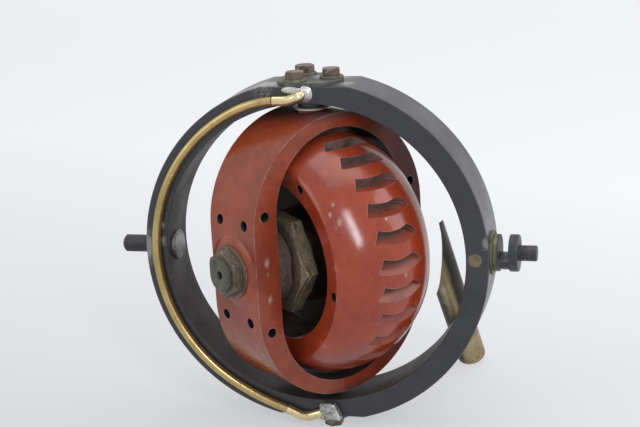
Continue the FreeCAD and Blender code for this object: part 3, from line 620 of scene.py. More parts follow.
# The bucket floors get painted shade towards their deep end
bucket_floor = painted(
    "bucket_floor", tone(148, 58, 34), tone(118, 44, 28), tone(150, 110, 92),
    rough=(0.24, 0.42), coat=0.15, wear=(0.0004, 0.15), cloud=130.0, contrast=0.6,
    lines=(120.0, 0.012, 0.4), dust=0.1, dust_tone=tone(142, 120, 108),
    painted_shade=(bucket_deep_shade, tone(98, 72, 62)))
bucket_wall = painted(
    "bucket_wall", tone(132, 108, 104), tone(92, 68, 62), tone(150, 120, 106),
    rough=(0.3, 0.5), coat=0.1, wear=(0.0004, 0.15), cloud=130.0, contrast=0.7,
    lines=(120.0, 0.012, 0.4), dust=0.1)
# Painted shade: a dark copy of the wheel enamel for the recess round the hub
hub_recess_shade = painted(
    "hub_recess_shade", tone(44, 22, 17), tone(28, 16, 14), tone(120, 96, 80),
    rough=(0.4, 0.6), coat=0.1, wear=(0.0004, 0.4), cloud=90.0, dust=0.15)

LEG_TOP = Vector((41.8, 30.0, 2.9))
LEG_FOOT = Vector((51.7, 73.8, FLOOR + 3.35))
LEG_ALONG = (LEG_TOP - LEG_FOOT).normalized()
LEG_ACROSS = Vector((0.925, 0.267, 0.269))
LEG_ACROSS = (LEG_ACROSS - LEG_ACROSS.dot(LEG_ALONG) * LEG_ALONG).normalized()


def painted_leg_reflection(tree, clouds):
    # Painted dark reflection along both sides of the tube, left off on the right side near the
    # foot, and darker over the top end
    across = reach_along(tree, LEG_ACROSS, LEG_FOOT)
    along = reach_along(tree, LEG_ALONG, LEG_FOOT)
    uneven = sum_of(tree, "MULTIPLY", sum_of(tree, "SUBTRACT", clouds, 0.5), 1.0)
    right = spread(tree, sum_of(tree, "ADD", across, uneven), -0.6, 2.0)
    left = spread(tree, sum_of(tree, "ADD", across, uneven), -2.6, -5.2)
    right = sum_of(tree, "MULTIPLY", right, spread(tree, along, 16.0, 26.0, 0.0, 1.0))
    either = sum_of(tree, "MAXIMUM", right, left)
    either = sum_of(tree, "MAXIMUM", either, spread(tree, along, 68.0, 84.0))
    return sum_of(tree, "MULTIPLY", either, 0.97)


def pale_rim(tree, clouds):
    # The bright line where the plug meets the ring
    x = sum_of(tree, "SUBTRACT", reach_along(tree, (1, 0, 0)), 69.2)
    z = reach_along(tree, (0, 0, 1))
    out = sum_of(tree, "SQRT", sum_of(tree, "MULTIPLY_ADD", x, x,
                                      sum_of(tree, "MULTIPLY", z, z)), 0.0)
    return spread(tree, out, 1.95, 2.35)


def scuffed_end(tree, clouds):
    # The riveted end of the left trunnion is rubbed bright
    end = spread(tree, reach_along(tree, (1, 0, 0)), -66.5, -65.6)
    low = spread(tree, reach_along(tree, (0, 0, 1)), -4.0, 1.5, 0.15, 0.9)
    return sum_of(tree, "MULTIPLY", sum_of(tree, "MULTIPLY", end, low),
                  spread(tree, clouds, 0.0, 0.5, 0.5, 1.0))


def olive_collar(tree, clouds):
    # Brass showing at the inner end of the right trunnion's drum
    return spread(tree, reach_along(tree, (1, 0, 0)), 77.4, 77.0)


def bush_top(tree, clouds):
    # Paint on the bush's side; its face towards the ring is bare metal, made pale as a painted
    # highlight
    height = sum_of(tree, "ABSOLUTE", reach_along(tree, (0, 0, 1)), 0.0)
    return spread(tree, height, 61.75, 61.6)


# The pivots are dark steel, darkened further as painted shade for the gap under the ring
black_steel = metal(
    "black_steel", tone(66, 68, 76), tone(44, 45, 50), tone(52, 46, 42),
    rough=(0.3, 0.48), metallic=0.6, stain_cover=0.3, edge=tone(130, 130, 135), dust=0.08)
rivet_steel = metal(
    "rivet_steel", tone(66, 67, 72), tone(46, 46, 49), tone(52, 46, 42),
    rough=(0.3, 0.48), metallic=0.5, stain_cover=0.15, edge=tone(130, 130, 135), dust=0.08,
    lines=(160.0, 0.01, 0.2), second=(scuffed_end, tone(176, 176, 174)))
drum_steel = metal(
    "drum_steel", tone(70, 72, 78), tone(48, 49, 52), tone(56, 50, 44),
    rough=(0.3, 0.48), metallic=0.6, stain_cover=0.3, edge=tone(130, 130, 135), dust=0.08,
    second=(olive_collar, tone(112, 104, 76)))
aged_steel = metal(
    "aged_steel", tone(134, 124, 112), tone(92, 80, 70), tone(70, 54, 42),
    rough=(0.32, 0.52), metallic=0.75, stain_cover=0.7, edge=tone(196, 182, 150))
hub_steel = metal(
    "hub_steel", tone(158, 143, 126), tone(108, 95, 82), tone(84, 66, 52),
    rough=(0.3, 0.48), metallic=0.7, stain_cover=0.6, wear=(0.0007, 1.2),
    edge=tone(214, 200, 140))
screw_steel = metal(
    "screw_steel", tone(96, 94, 84), tone(72, 70, 60), tone(60, 56, 46),
    rough=(0.35, 0.5), metallic=0.55, stain_cover=0.5, edge=tone(150, 146, 128))
bolt_steel = metal(
    "bolt_steel", tone(132, 116, 106), tone(94, 78, 70), tone(70, 52, 44),
    rough=(0.26, 0.42), metallic=0.7, stain_cover=0.4, wear=(0.0003, 0.7),
    edge=tone(134, 122, 112), dust=0.2)
washer_bronze = metal(
    "washer_bronze", tone(122, 120, 98), tone(88, 88, 70), tone(66, 70, 50),
    rough=(0.35, 0.55), metallic=0.5, stain_cover=0.6, edge=tone(160, 156, 126))
bright_steel = metal(
    "bright_steel", tone(204, 202, 198), tone(164, 160, 154), tone(120, 112, 104),
    rough=(0.18, 0.32), metallic=0.95, stain_cover=0.15, edge=tone(230, 228, 222))
pipe_brass = metal(
    "pipe_brass", tone(202, 178, 122), tone(172, 146, 92), tone(136, 112, 70),
    rough=(0.24, 0.36), cloud=60.0, contrast=0.4, metallic=0.8, stain_cover=0.1,
    lines=(150.0, 0.010, 0.2), edge=tone(226, 208, 160), relief=0.000006)
elbow_brass = metal(
    "elbow_brass", tone(238, 224, 180), tone(206, 186, 138), tone(160, 134, 88),
    rough=(0.18, 0.28), metallic=0.9, stain_cover=0.1, edge=tone(240, 226, 186),
    lines=(150.0, 0.010, 0.2), relief=0.000004)
# The leg's second tone is a painted dark reflection along the tube's sides
leg_brass = metal(
    "leg_brass", tone(196, 180, 146), tone(150, 132, 100), tone(110, 94, 70),
    rough=(0.36, 0.5), cloud=45.0, contrast=0.4, metallic=0.75, stain_cover=0.2,
    lines=(150.0, 0.010, 0.2), edge=tone(206, 190, 150),
    second=(painted_leg_reflection, tone(34, 34, 33)))
leg_skin = metal(
    "leg_skin", tone(66, 60, 54), tone(44, 40, 38), tone(84, 64, 38),
    rough=(0.32, 0.5), cloud=40.0, contrast=0.7, metallic=0.6, stain_cover=0.35,
    edge=tone(190, 156, 96))
plug_copper = metal(
    "plug_copper", tone(136, 112, 78), tone(112, 90, 62), tone(88, 72, 54),
    rough=(0.4, 0.55), metallic=0.35, stain_cover=0.2, edge=tone(150, 146, 138),
    lines=(160.0, 0.01, 0.2), second=(pale_rim, tone(104, 103, 100)))
# The bush's pale face towards the ring is bare metal with a painted highlight
bush_paint_and_highlight = metal(
    "bush_paint_and_highlight", tone(222, 218, 208), tone(190, 184, 172), tone(150, 140, 124),
    rough=(0.25, 0.4), metallic=0.5, stain_cover=0.1, edge=tone(190, 170, 150),
    wear=(0.0003, 0.2), lines=(160.0, 0.01, 0.15), second=(bush_top, tone(96, 42, 27)))
lump_solder = metal(
    "lump_solder", tone(206, 208, 202), tone(120, 120, 112), tone(88, 86, 80),
    rough=(0.16, 0.42), cloud=110.0, contrast=0.9, metallic=0.8, stain_cover=0.4,
    relief=0.00005, edge=tone(220, 222, 216))
soft_solder = metal(
    "soft_solder", tone(226, 226, 224), tone(182, 183, 181), tone(140, 138, 132),
    rough=(0.2, 0.36), cloud=200.0, contrast=0.6, metallic=0.8, stain_cover=0.2,
    relief=0.00005, edge=tone(240, 240, 238))
joint_ring = metal(
    "joint_ring", tone(104, 58, 40), tone(70, 38, 28), tone(48, 30, 24),
    rough=(0.35, 0.5), metallic=0.6, stain_cover=0.5)


def give_finishes(piece, finishes):
    piece.data.materials.clear()
    for finish in finishes:
        piece.data.materials.append(finish)


def drill(piece, radius, start, end, spot, axis, finish=None, steps=40):
    tool = turned("drill", [(start, 0), (start, radius), (end, radius), (end, 0)], axis, steps)
    if finish:
        tool.data.materials.append(finish)
    shift(tool, Matrix.Translation(spot))
    return machine(piece, tool)


# Outer ring: a square section ring with two flats and the open bore of the right trunnion

def make_ring():
    section = [(-HALF_DEPTH, RING_INNER), (-HALF_DEPTH, RING_OUTER), (HALF_DEPTH, RING_OUTER),
               (HALF_DEPTH, RING_INNER), (-HALF_DEPTH, RING_INNER)]
    ring = turned("ring_casting", section, "Y", 288)
    saw(ring, (0, 0, RING_FLAT), (0, 0, 1))
    saw(ring, (0, 0, -RING_FLAT), (0, 0, -1))
    soften(ring, 0.5, 3)
    bore = turned("trunnion_bore", [(60, 0), (60, 4.6), (65.6, 4.6), (66.2, 4.0), (67.5, 4.0),
                                    (67.5, 0)], "X", 48)
    machine(ring, bore)
    machine(ring, turned("spot_face", [(74.4, 0), (74.4, 9.6), (80, 9.6), (80, 0)], "X", 64))
    drill(ring, 2.72, RING_FRONT - 1, RING_FRONT + 3.0, (69.2, 0, 0), "Y")
    polish(ring, 28)
    give_finishes(ring, [ring_paint, ring_inside])
    for face in ring.data.polygons:
        x, _, z = face.center
        inward = -(face.normal.x * x + face.normal.z * z) / math.hypot(x, z)
        if inward > 0.6 and math.hypot(x, z) < RING_INNER + 0.8:
            face.material_index = 1
    return set_down(ring, "ring", None, ["outer_ring"])


# Inner gimbal: a slot shaped band with a round boss at each side

def slot_block(name, radius, centre, half, rounds=96):
    start = (radius, -half, -centre)
    block = pencil(name, start)
    draw(start, [(radius, -half, centre)])
    bpy.ops.mesh.spin(steps=rounds, angle=math.pi, center=(0, -half, centre), axis=(0, 1, 0))
    draw((-radius, -half, centre), [(-radius, -half, -centre)])
    bpy.ops.mesh.spin(steps=rounds, angle=math.pi, center=(0, -half, -centre), axis=(0, 1, 0))
    bpy.ops.mesh.select_all(action="SELECT")
    bpy.ops.mesh.remove_doubles(threshold=0.001)
    bpy.ops.mesh.select_all(action="SELECT")
    bpy.ops.mesh.edge_face_add()
    bpy.ops.mesh.extrude_region_move(TRANSFORM_OT_translate={"value": (0, 2 * half, 0)})
    return close_up(block)


def gimbal_finish_of(face):
    # 1 for the dull inside of the window, darkened as painted shade, 2 for the bare inner bosses,
    # 0 for the enamel
    x, y, z = face.center
    if abs(x) < OPENING_ARC - 0.3 and math.hypot(y, z) < BOSS_RADIUS + 0.5:
        return 2
    out = math.hypot(x, max(abs(z) - OPENING_CENTRE, 0.0))
    if abs(out - OPENING_ARC) < 0.4 and abs(y) < HALF_WIDTH - 0.7 and (x > 0 or abs(z) > 32):
        return 1
    return 0


def make_gimbal():
    band = slot_block("gimbal_band", GIMBAL_ARC, GIMBAL_CENTRE, HALF_WIDTH)
    machine(band, slot_block("gimbal_window", OPENING_ARC, OPENING_CENTRE, HALF_WIDTH + 5))
    for side in (1, -1):
        boss = turned("boss", [(side * x, r) for x, r in (
            (BOSS_INNER, 0), (BOSS_INNER, BOSS_RADIUS), (43.9, BOSS_RADIUS), (44.5, 15.9),
            (45.0, 15.0), (45.5, 14.0), (45.9, 13.0), (46.12, 12.2), (BOSS_OUTER, 11.4),
            (BOSS_OUTER, 0))], "X", 96)
        saw(boss, (0, HALF_WIDTH, 0), (0, 1, 0))
        saw(boss, (0, -HALF_WIDTH, 0), (0, -1, 0))
        machine(band, boss, "UNION")
    soften(band, 0.6, 3, 40)
    for side in (1, -1):
        machine(band, turned("axle_bore", [
            (side * 20, 0), (side * 20, 9.5), (side * 42, 9.5), (side * 42, 7.1),
            (side * 50, 7.1), (side * 50, 0)], "X", 64))
        machine(band, turned("bush_bore", [
            (side * 50, 0), (side * 50, 6.5), (side * 60.6, 6.5), (side * 60.6, 8.4),
            (side * 66, 8.4), (side * 66, 0)], "Z", 64))
    give_finishes(band, [gimbal_enamel, gimbal_inside_shade, boss_grey, hole_painted_shade])
    for face in band.data.polygons:
        face.material_index = gimbal_finish_of(face)
    for side in (1, -1):
        for y in (-8.6, 8.6):
            for z in (-20.8, 20.8):
                drill(band, 2.25, side * 38.5, side * 47, (0, y, z), "X", hole_painted_shade)
        for z in (-24.75, 24.75):
            drill(band, 2.1, -HALF_WIDTH - 1, -HALF_WIDTH + 8, (side * 38.7, 0, z), "Y",
                  hole_painted_shade)
    polish(band, 30)
    return set_down(band, "gimbal", None, ["inner_gimbal"], GIMBAL_PLACE)


# Wheel: a crowned rim with milled buckets, a web and a hub

def rim_height(x):
    return WHEEL_CROWN - RIM_ARC + math.sqrt(RIM_ARC ** 2 - x ** 2)


def wheel_profile():
    crown = []
    for i in range(-9, 10):
        x = 23.2 * i / 9
        crown.append((x, rim_height(x)))
    edge = [(23.75, rim_height(23.2) - 0.62), (24.25, rim_height(23.2) - 1.25),
            (24.52, rim_height(23.2) - 1.95), (RIM_HALF, rim_height(23.2) - 2.6)]
    inside = [(RIM_FACE + 0.1, RECESS + 0.4), (RIM_FACE - 0.5, RECESS - 0.2), (9.0, 31.2),
              (8.0, 30.2), (8.0, 21.0), (9.0, 20.0), (HUB_FACE - 0.6, 20.0),
              (HUB_FACE, 19.4), (HUB_FACE, HUB_BORE)]
    right = edge + inside
    left = [(-x, r) for x, r in reversed(right)]
    return left + crown + right + [left[0]]


def bucket_tool():
    start = math.radians(BUCKET_START)
    floor_y = WHEEL_CROWN * math.sin(start)
    floor_z = WHEEL_CROWN * math.cos(start)
    fall = math.tan(math.radians(BUCKET_SLOPE))

    def spot(x, angle):
        y = WHEEL_CROWN * math.sin(math.radians(angle))
        return (x, y, floor_z - (y - floor_y) * fall)

    outline = [spot(-7.5, 0.0), spot(-5.2, -0.9), spot(-2.6, -1.5), spot(0.2, -1.65),
               spot(2.8, -1.35), spot(5.2, -0.75), spot(7.2, -0.25), spot(9.0, -0.65),
               spot(10.9, -1.9), spot(12.4, -3.4), spot(13.5, -5.0), spot(15.5, -10.5),
               spot(-12.3, -10.5), spot(-7.5, 0.0)]
    return slab("bucket_tool", outline[0], outline[1:], (0, 0, 14))


def make_wheel():
    wheel = turned("wheel_with_buckets", wheel_profile(), "X", 224)
    wheel.data.materials.append(wheel_enamel)
    tool = bucket_tool()
    pick_up(tool)
    bpy.ops.object.mode_set(mode="EDIT")
    bpy.ops.mesh.select_all(action="DESELECT")
    bpy.ops.object.mode_set(mode="OBJECT")
    for edge in tool.data.edges:
        ends = [tool.data.vertices[i].co for i in edge.vertices]
        edge.select = max(end.z for end in ends) < WHEEL_CROWN + 1.5
    bpy.ops.object.mode_set(mode="EDIT")
    bpy.ops.mesh.bevel(offset=0.7, segments=3, affect="EDGES")
    bpy.ops.object.mode_set(mode="OBJECT")
    give_finishes(tool, [bucket_floor, bucket_wall])
    for face in tool.data.polygons:
        face.material_index = 1 if abs(face.normal.z) < 0.55 else 0
    tools = [tool]
    for i in range(1, BUCKETS):
        turn = Matrix.Rotation(math.tau * i / BUCKETS, 4, "X")
        tools.append(copy_of(tool, "bucket_tool_%d" % i, turn))
    machine(wheel, join(tools, "bucket_tools"))
    for angle in (63.4, -5.5):
        a = math.radians(angle)
        drill(wheel, 2.1, -26, -16.5, (0, -40.3 * math.cos(a), 40.3 * math.sin(a)), "X",
              hole_painted_shade)
    polish(wheel, 32)
    # The faces inside the recess round the hub get painted shade
    wheel.data.materials.append(hub_recess_shade)
    dark = len(wheel.data.materials) - 1
    for face in wheel.data.polygons:
        out = math.hypot(face.center.y, face.center.z)
        if out < 33.0 and abs(face.center.x) < 21.5 and face.material_index == 0:
            face.material_index = dark
    return set_down(wheel, "rotor", None, ["rotor_wheel"], WHEEL_PLACE)


# Air pipe: one round tube bent in three flowing arcs over the ring's front face

def arc_centre(x, z, heading, radius, side):
    a = math.radians(heading)
    return (x - side * radius * math.sin(a), z + side * radius * math.cos(a))


def make_pipe():
    begin = math.radians(115.0)
    x, z = 69.5 * math.cos(begin), 69.5 * math.sin(begin)
    upper = arc_centre(x, z, 25.0, 44.3, -1)
    a = math.radians(3.0)
    top_x = upper[0] - 44.3 * math.sin(a)
    top_z = upper[1] + 44.3 * math.cos(a)
    put_down_all()
    bpy.ops.mesh.primitive_circle_add(
        vertices=32, radius=PIPE_RADIUS, fill_type="NGON", location=(top_x, PIPE_Y, top_z),
        rotation=(0, math.radians(90 - 3), 0))
    pipe = named("bent_air_pipe")
    bpy.ops.object.transform_apply(location=True, rotation=True, scale=True)
    bpy.ops.object.mode_set(mode="EDIT")
    bpy.ops.mesh.select_all(action="SELECT")
    end = math.radians(235.0)
    low_x, low_z = 69.5 * math.cos(end), 69.5 * math.sin(end)
    lower = arc_centre(low_x, low_z, 325.0, 96.4, 1)
    for centre, turn, steps in ((upper, 22.0, 12), ((0, 0), 120.0, 96), (lower, 16.6, 14)):
        bpy.ops.mesh.spin(steps=steps, angle=math.radians(turn),
                          center=(centre[0], PIPE_Y, centre[1]), axis=(0, 1, 0))
    close_up(pipe)
    polish(pipe, 40)
    set_down(pipe, "ring", pipe_brass, ["air_pipe"])
    return top_x, top_z


def make_elbow(start_x, start_z):
    # Straight on from the pipe, up in an easy bend, then round into the ring's face
    y = RING_FRONT - 2.1
    put_down_all()
    bpy.ops.mesh.primitive_circle_add(vertices=32, radius=2.05, fill_type="NGON",
                                      location=(start_x + 0.25, y, start_z),
                                      rotation=(0, math.radians(90), 0))
    elbow = named("top_elbow_tube")
    bpy.ops.object.transform_apply(location=True, rotation=True, scale=True)
    bpy.ops.object.mode_set(mode="EDIT")
    bpy.ops.mesh.select_all(action="SELECT")
    bpy.ops.mesh.extrude_region_move(TRANSFORM_OT_translate={"value": (4.6, 0, 0)})
    x, z = start_x + 4.85, start_z
    rise = math.radians(22)
    bpy.ops.mesh.spin(steps=12, angle=rise, center=(x, y, z + 11), axis=(0, 1, 0))
    x, z = x + 11 * math.sin(rise), z + 11 * (1 - math.cos(rise))
    step = Vector((1.0 * math.cos(rise), 0, 1.0 * math.sin(rise)))
    bpy.ops.mesh.extrude_region_move(TRANSFORM_OT_translate={"value": step})
    x, z = x + step.x, z + step.z
    bpy.ops.mesh.spin(steps=12, angle=math.radians(90), center=(x, y + 2.6, z),
                      axis=(math.sin(rise), 0, -math.cos(rise)))
    bpy.ops.mesh.extrude_region_move(TRANSFORM_OT_translate={"value": (0, 1.5, 0)})
    close_up(elbow)
    polish(elbow, 40)
    set_down(elbow, "ring", elbow_brass, ["top_elbow"])


# Caps, washers and bolts

def make_cap():
    cap = turned("cap_plate", [(RING_FLAT, 0), (RING_FLAT, CAP_RADIUS),
                               (RING_FLAT + CAP_THICK, CAP_RADIUS), (RING_FLAT + CAP_THICK, 0)],
                 "Z", 96)
    saw(cap, (0, HALF_DEPTH, 0), (0, 1, 0))
    saw(cap, (0, -HALF_DEPTH, 0), (0, -1, 0))
    soften(cap, 0.22, 2)
    return polish(cap, 30)


def make_bolt():
    seat = RING_FLAT + CAP_THICK + WASHER_THICK
    high = seat + BOLT_HEAD
    put_down_all()
    bpy.ops.mesh.primitive_cylinder_add(vertices=6, radius=BOLT_CORNER, depth=BOLT_HEAD,
                                        location=(0, 0, seat + BOLT_HEAD / 2),
                                        rotation=(0, 0, math.radians(15)))
    head = named("bolt_head")
    bpy.ops.object.transform_apply(location=True, rotation=True, scale=True)
    dome = turned("bolt_dome", [(seat - 1, 0), (seat - 1, 5), (high - 0.5, 5),
                                (high - 0.5, BOLT_CORNER + 0.1), (high - 0.2, BOLT_CORNER - 0.35),
                                (high - 0.04, BOLT_CORNER - 0.7), (high, BOLT_CORNER - 1.1),
                                (high, 0)], "Z", 48)
    machine(head, dome, "INTERSECT")
    soften(head, 0.08, 2, 32)
    return polish(head, 32)


def make_washer():
    low = RING_FLAT + CAP_THICK
    washer = turned("bolt_washer", [(low, 1.65), (low, 4.85), (low + 0.15, 4.95),
                                    (low + WASHER_THICK - 0.4, 4.95),
                                    (low + WASHER_THICK - 0.12, 4.8),
                                    (low + WASHER_THICK, 4.5),
                                    (low + WASHER_THICK, 1.65), (low, 1.65)], "Z", 64)
    return polish(washer, 32)


def make_caps():
    cap, bolt, washer = make_cap(), make_bolt(), make_washer()
    over = Matrix.Rotation(math.pi, 4, "Y")
    for side, place in (("top", Matrix.Identity(4)), ("bottom", over)):
        bolts, washers = [], []
        for i in range(3):
            a = math.radians(120 * i)
            spot = place @ Matrix.Translation(
                (BOLT_CIRCLE * math.cos(a), BOLT_CIRCLE * math.sin(a), 0))
            spot = spot @ Matrix.Rotation(math.radians(25 * i), 4, "Z")
            bolts.append(copy_of(bolt, "bolt_%d" % i, spot))
            washers.append(copy_of(washer, "washer_%d" % i, spot))
        set_down(copy_of(cap, side + "_cap_plate", place), "ring", cap_paint,
                 [side + "_cap"])
        set_down(join(bolts, side + "_bolts"), "ring", bolt_steel,
                 [side + "_cap_bolts"])
        set_down(join(washers, side + "_washers"), "ring", washer_bronze,
                 [side + "_cap_washers"])
    for spare in (cap, bolt, washer):
        bpy.data.objects.remove(spare)


# Solder round the top elbow: a run dome with a smear beside it

def make_top_solder():
    dome = turned("solder_run", [(-1.3, 0), (-1.27, 0.6), (-1.15, 1.2), (-0.95, 1.75),
                                 (-0.65, 2.25), (-0.3, 2.6), (-0.08, 2.8), (0.0, 3.0),
                                 (0.4, 2.8), (0.4, 0)], "Y", 72)
    shift(dome, Matrix.Translation((0.75, RING_FRONT, 69.6)) @ Matrix.Diagonal((1, 1, 1.12, 1)))
    smear = turned("solder_smear", [(-0.34, 0), (-0.32, 0.9), (-0.25, 1.7), (-0.12, 2.4),
                                    (-0.03, 2.7), (0.0, 2.85), (0.3, 2.6), (0.3, 0)], "Y", 72)
    lean = Matrix.Rotation(math.radians(5), 4, "Y") @ Matrix.Diagonal((1.6, 1.0, 0.52, 1.0))
    shift(smear, Matrix.Translation((-4.7, RING_FRONT, 71.0)) @ lean)
    lump = join([dome, smear], "top_solder_run")
    flow = bpy.data.textures.new("solder_flow", "CLOUDS")
    flow.noise_scale = 2.2
    ripple = lump.modifiers.new("ripple", "DISPLACE")
    ripple.texture = flow
    ripple.strength = 0.16
    ripple.mid_level = 0.55
    apply_modifier(lump, ripple)
    polish(lump, 60, False)
    return set_down(lump, "ring", soft_solder, ["top_solder"])


def make_bottom_solder():
    outline = [(0.2, -72.9), (0.0, -69.5), (0.3, -66.2), (1.6, -65.4), (5.2, -65.2),
               (6.9, -66.0), (8.2, -68.6), (9.3, -71.2), (9.7, -72.6), (9.0, -73.3),
               (1.0, -73.3), (0.2, -72.9)]
    spots = [(x, RING_FRONT, z) for x, z in outline]
    lump = slab("bottom_solder_lump", spots[0], spots[1:], (0, -4.2, 0))
    soften(lump, 1.2, 4, 50)
    finer = lump.modifiers.new("finer", "SUBSURF")
    finer.subdivision_type = "SIMPLE"
    finer.levels = finer.render_levels = 3
    apply_modifier(lump, finer)
    flow = bpy.data.textures.new("lump_flow", "CLOUDS")
    flow.noise_scale = 2.6
    ripple = lump.modifiers.new("ripple", "DISPLACE")
    ripple.texture = flow
    ripple.strength = 0.9
    ripple.mid_level = 0.55
    apply_modifier(lump, ripple)
    polish(lump, 60, False)
    return set_down(lump, "ring", lump_solder, ["bottom_solder"])


# Right trunnion: a drum with a shallow groove round it, cut down deep from above, and a pin

def make_drum():
    drum = turned("trunnion_drum", [
        (67.5, 0), (67.5, 3.9), (75.6, 3.9), (75.6, 7.6), (75.8, 7.8), (77.9, 7.8),
        (78.1, 7.6), (78.1, 7.0), (82.1, 7.0), (82.1, 7.6), (82.3, 7.8), (85.6, 7.8),
        (85.9, 7.5), (85.9, 3.3), (92.9, 3.3), (93.3, 2.9), (93.3, 0)], "X", 96)
    machine(drum, slab("groove_tool", (78.1, -12, -1.6), [
        (82.1, -12, -1.6), (82.1, -12, 12), (78.1, -12, 12), (78.1, -12, -1.6)], (0, 24, 0)))
    soften(drum, 0.12, 2, 50)
    polish(drum, 35)
    return set_down(drum, "ring", drum_steel, ["right_trunnion"])


def make_joint_ring(x, z):
    ring = turned("elbow_joint_ring", [(-0.4, 1.6), (-0.34, 2.02), (-0.2, 2.14), (0.2, 2.14),
                                       (0.34, 2.02), (0.4, 1.6), (-0.4, 1.6)], "X", 48)
    shift(ring, Matrix.Translation((x + 0.12, PIPE_Y - 0.08, z)))
    polish(ring, 40, False)
    return set_down(ring, "ring", joint_ring)


# Prop leg: a tube whose top is cut away along a hollow curve

def make_leg():
    leg = turned("prop_leg_tube", [(0, 5.6), (0, 6.7), (94, 6.7), (94, 5.6), (0, 5.6)], "Z", 96)
    sight = Vector((0, 0.711, -0.703))
    outline = [(6.85, 89.1), (4.45, 87.8), (4.0, 81.8), (3.45, 78.5), (2.87, 75.2),
               (2.2, 72.0), (1.38, 68.7), (0.4, 64.9), (-0.76, 61.0), (-2.05, 56.9),
               (-3.43, 52.8), (-4.9, 49.4), (-6.5, 46.3), (-11.5, 45.5), (-11.5, 112.0),
               (12.0, 112.0), (12.0, 91.5), (6.85, 89.1)]
    spots = [Vector((x, 0, z)) - sight * 30 for x, z in outline]
    machine(leg, slab("scarf_tool", spots[0], spots[1:], sight * 60))
    soften(leg, 0.22, 2, 40)
    polish(leg, 35)
    across, along = LEG_ACROSS, LEG_ALONG
    deep = along.cross(across)
    stand = Matrix((across, deep, along)).transposed().to_4x4()
    return set_down(leg, "ring", leg_brass, ["prop_leg"],
                    Matrix.Translation(LEG_FOOT) @ stand)


make_ring()
make_gimbal()
make_wheel()
pipe_end = make_pipe()
make_elbow(*pipe_end)
make_joint_ring(*pipe_end)
make_caps()
make_top_solder()
make_bottom_solder()
make_drum()
make_leg()

# The carried pieces get their finishes

FINISHES = {
    "left_trunnion": rivet_steel,
    "trunnion_washer": washer_bronze, "trunnion_lock_plug": plug_copper,
    "top_pivot": black_steel, "bottom_pivot": black_steel,
    "bottom_elbow": elbow_brass,
    "leg_bracket": leg_skin, "bracket_screws": bolt_steel,
    "top_pivot_bush": bush_paint_and_highlight, "bottom_pivot_bush": bush_paint_and_highlight,
    "far_bearing_screw": screw_steel, "near_bearing_screw": screw_steel,
    "far_screw_washer": aged_steel, "near_screw_washer": aged_steel,
    "far_lock_nut": aged_steel, "near_lock_nut": aged_steel,
    "rotor_axle": bright_steel, "far_hub_nut": hub_steel, "near_hub_nut": hub_steel,
    "far_hub_lock_nut": hub_steel, "near_hub_lock_nut": hub_steel,
}
for label, finish in FINISHES.items():
    carried = NODES[label]
    for holder in carried.material_slots:
        holder.material = finish


# Camera, floor and light

def set_camera():
    sight = bpy.data.cameras.new("photo_camera")
    sight.lens = 82.61
    sight.sensor_width = 36.0
    sight.clip_start = 0.05
    sight.clip_end = 20.0
    camera = bpy.data.objects.new("photo_camera", sight)
    bpy.context.scene.collection.objects.link(camera)
    right = Vector((0.9646, 0.2584, -0.0531)).normalized()
    back = Vector((0.2631, -0.9273, 0.2662)).normalized()
    up = back.cross(right).normalized()
    right = up.cross(back)
    turn = Matrix((right, up, back)).transposed().to_4x4()
    camera.matrix_world = Matrix.Translation((0.16605, -0.58212, 0.18243)) @ turn
    bpy.context.scene.camera = camera


def any_of(tree, path, names):
    share = path.outputs[names[0]]
    for label in names[1:]:
        share = sum_of(tree, "MAXIMUM", share, path.outputs[label])
    return share


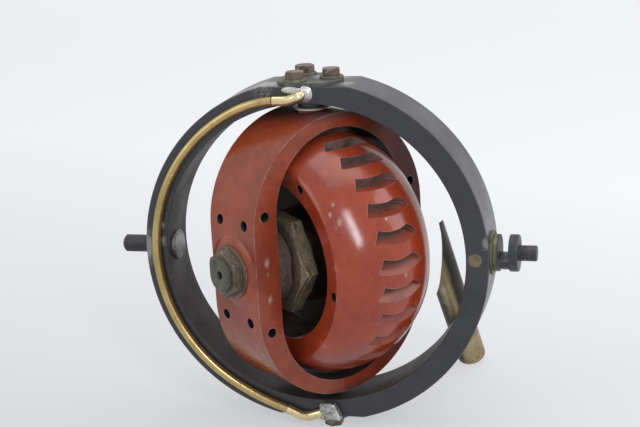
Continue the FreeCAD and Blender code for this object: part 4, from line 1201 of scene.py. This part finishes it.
def set_floor():
    put_down_all()
    bpy.ops.mesh.primitive_plane_add(size=12.0, location=(0, 0, FLOOR * 0.001 - 0.00005))
    floor = named("studio_floor")
    finish, tree, shader = new_finish("pale_floor")
    tree.nodes.remove(shader)
    where = node(tree, "TexCoord").outputs["Object"]
    away = node(tree, "SeparateXYZ", {0: where}).outputs["Y"]
    side = node(tree, "SeparateXYZ", {0: where}).outputs["X"]
    # The floor's colour darkens towards the front and the left, a painted falloff of light
    further = sum_of(tree, "MULTIPLY_ADD", side, 0.3, away)
    colour = blend(tree, spread(tree, further, -0.08, 0.42), tone(212, 213, 215),
                   tone(240, 241, 243))
    colour = blend(tree, spread(tree, further, 0.4, 1.5), colour, tone(251, 252, 255))
    lit = node(tree, "BsdfDiffuse", {"Color": colour})
    glow = node(tree, "Emission", {"Color": colour, "Strength": 1.16})
    path = node(tree, "LightPath")
    seen = any_of(tree, path, ["Is Camera Ray", "Is Glossy Ray", "Is Transmission Ray"])
    share = sum_of(tree, "MULTIPLY", seen, 0.6)
    mixed = node(tree, "MixShader", {0: share, 1: lit.outputs[0], 2: glow.outputs[0]})
    out = [n for n in tree.nodes if n.type == "OUTPUT_MATERIAL"][0]
    tree.links.new(mixed.outputs[0], out.inputs["Surface"])
    floor.data.materials.append(finish)


def set_world():
    world = bpy.data.worlds.new("studio")
    bpy.context.scene.world = world
    world.use_nodes = True
    tree = world.node_tree
    tree.nodes.clear()
    path = node(tree, "LightPath")
    seen = any_of(tree, path, ["Is Camera Ray", "Is Glossy Ray", "Is Transmission Ray"])
    soft = node(tree, "Background", {"Color": tone(236, 238, 242), "Strength": 0.55})
    pale = node(tree, "Background", {"Color": tone(240, 241, 243), "Strength": 0.92})
    mixed = node(tree, "MixShader", {0: seen, 1: soft.outputs[0], 2: pale.outputs[0]})
    out = node(tree, "OutputWorld")
    tree.links.new(mixed.outputs[0], out.inputs["Surface"])


def lamp(name, spot, aim, size, power, colour=(1, 1, 1), roll=0.0):
    light = bpy.data.lights.new(name, "AREA")
    light.shape = "RECTANGLE"
    light.size, light.size_y = size
    light.energy = power
    light.color = colour
    holder = bpy.data.objects.new(name, light)
    bpy.context.scene.collection.objects.link(holder)
    holder.location = spot
    faced = (Vector(aim) - Vector(spot)).to_track_quat("-Z", "Y").to_matrix()
    holder.rotation_euler = (faced @ Matrix.Rotation(math.radians(roll), 3, "Z")).to_euler()


set_camera()
set_floor()
set_world()
lamp("window", (0.58, -0.9, 0.56), (0, 0, 0), (0.16, 0.66), 5.2, (0.9, 0.93, 1.0), 18.0)
lamp("left_card", (-0.9, -0.6, 0.55), (0, 0, 0), (0.8, 0.8), 2.6)
lamp("overhead", (0.1, 0.1, 1.1), (0, 0, 0), (0.9, 0.9), 4.0)
lamp("side_panel", (0.9, 0.2, 0.45), (0, 0, 0), (0.5, 0.7), 2.2)
bpy.context.scene.view_settings.view_transform = "Standard"
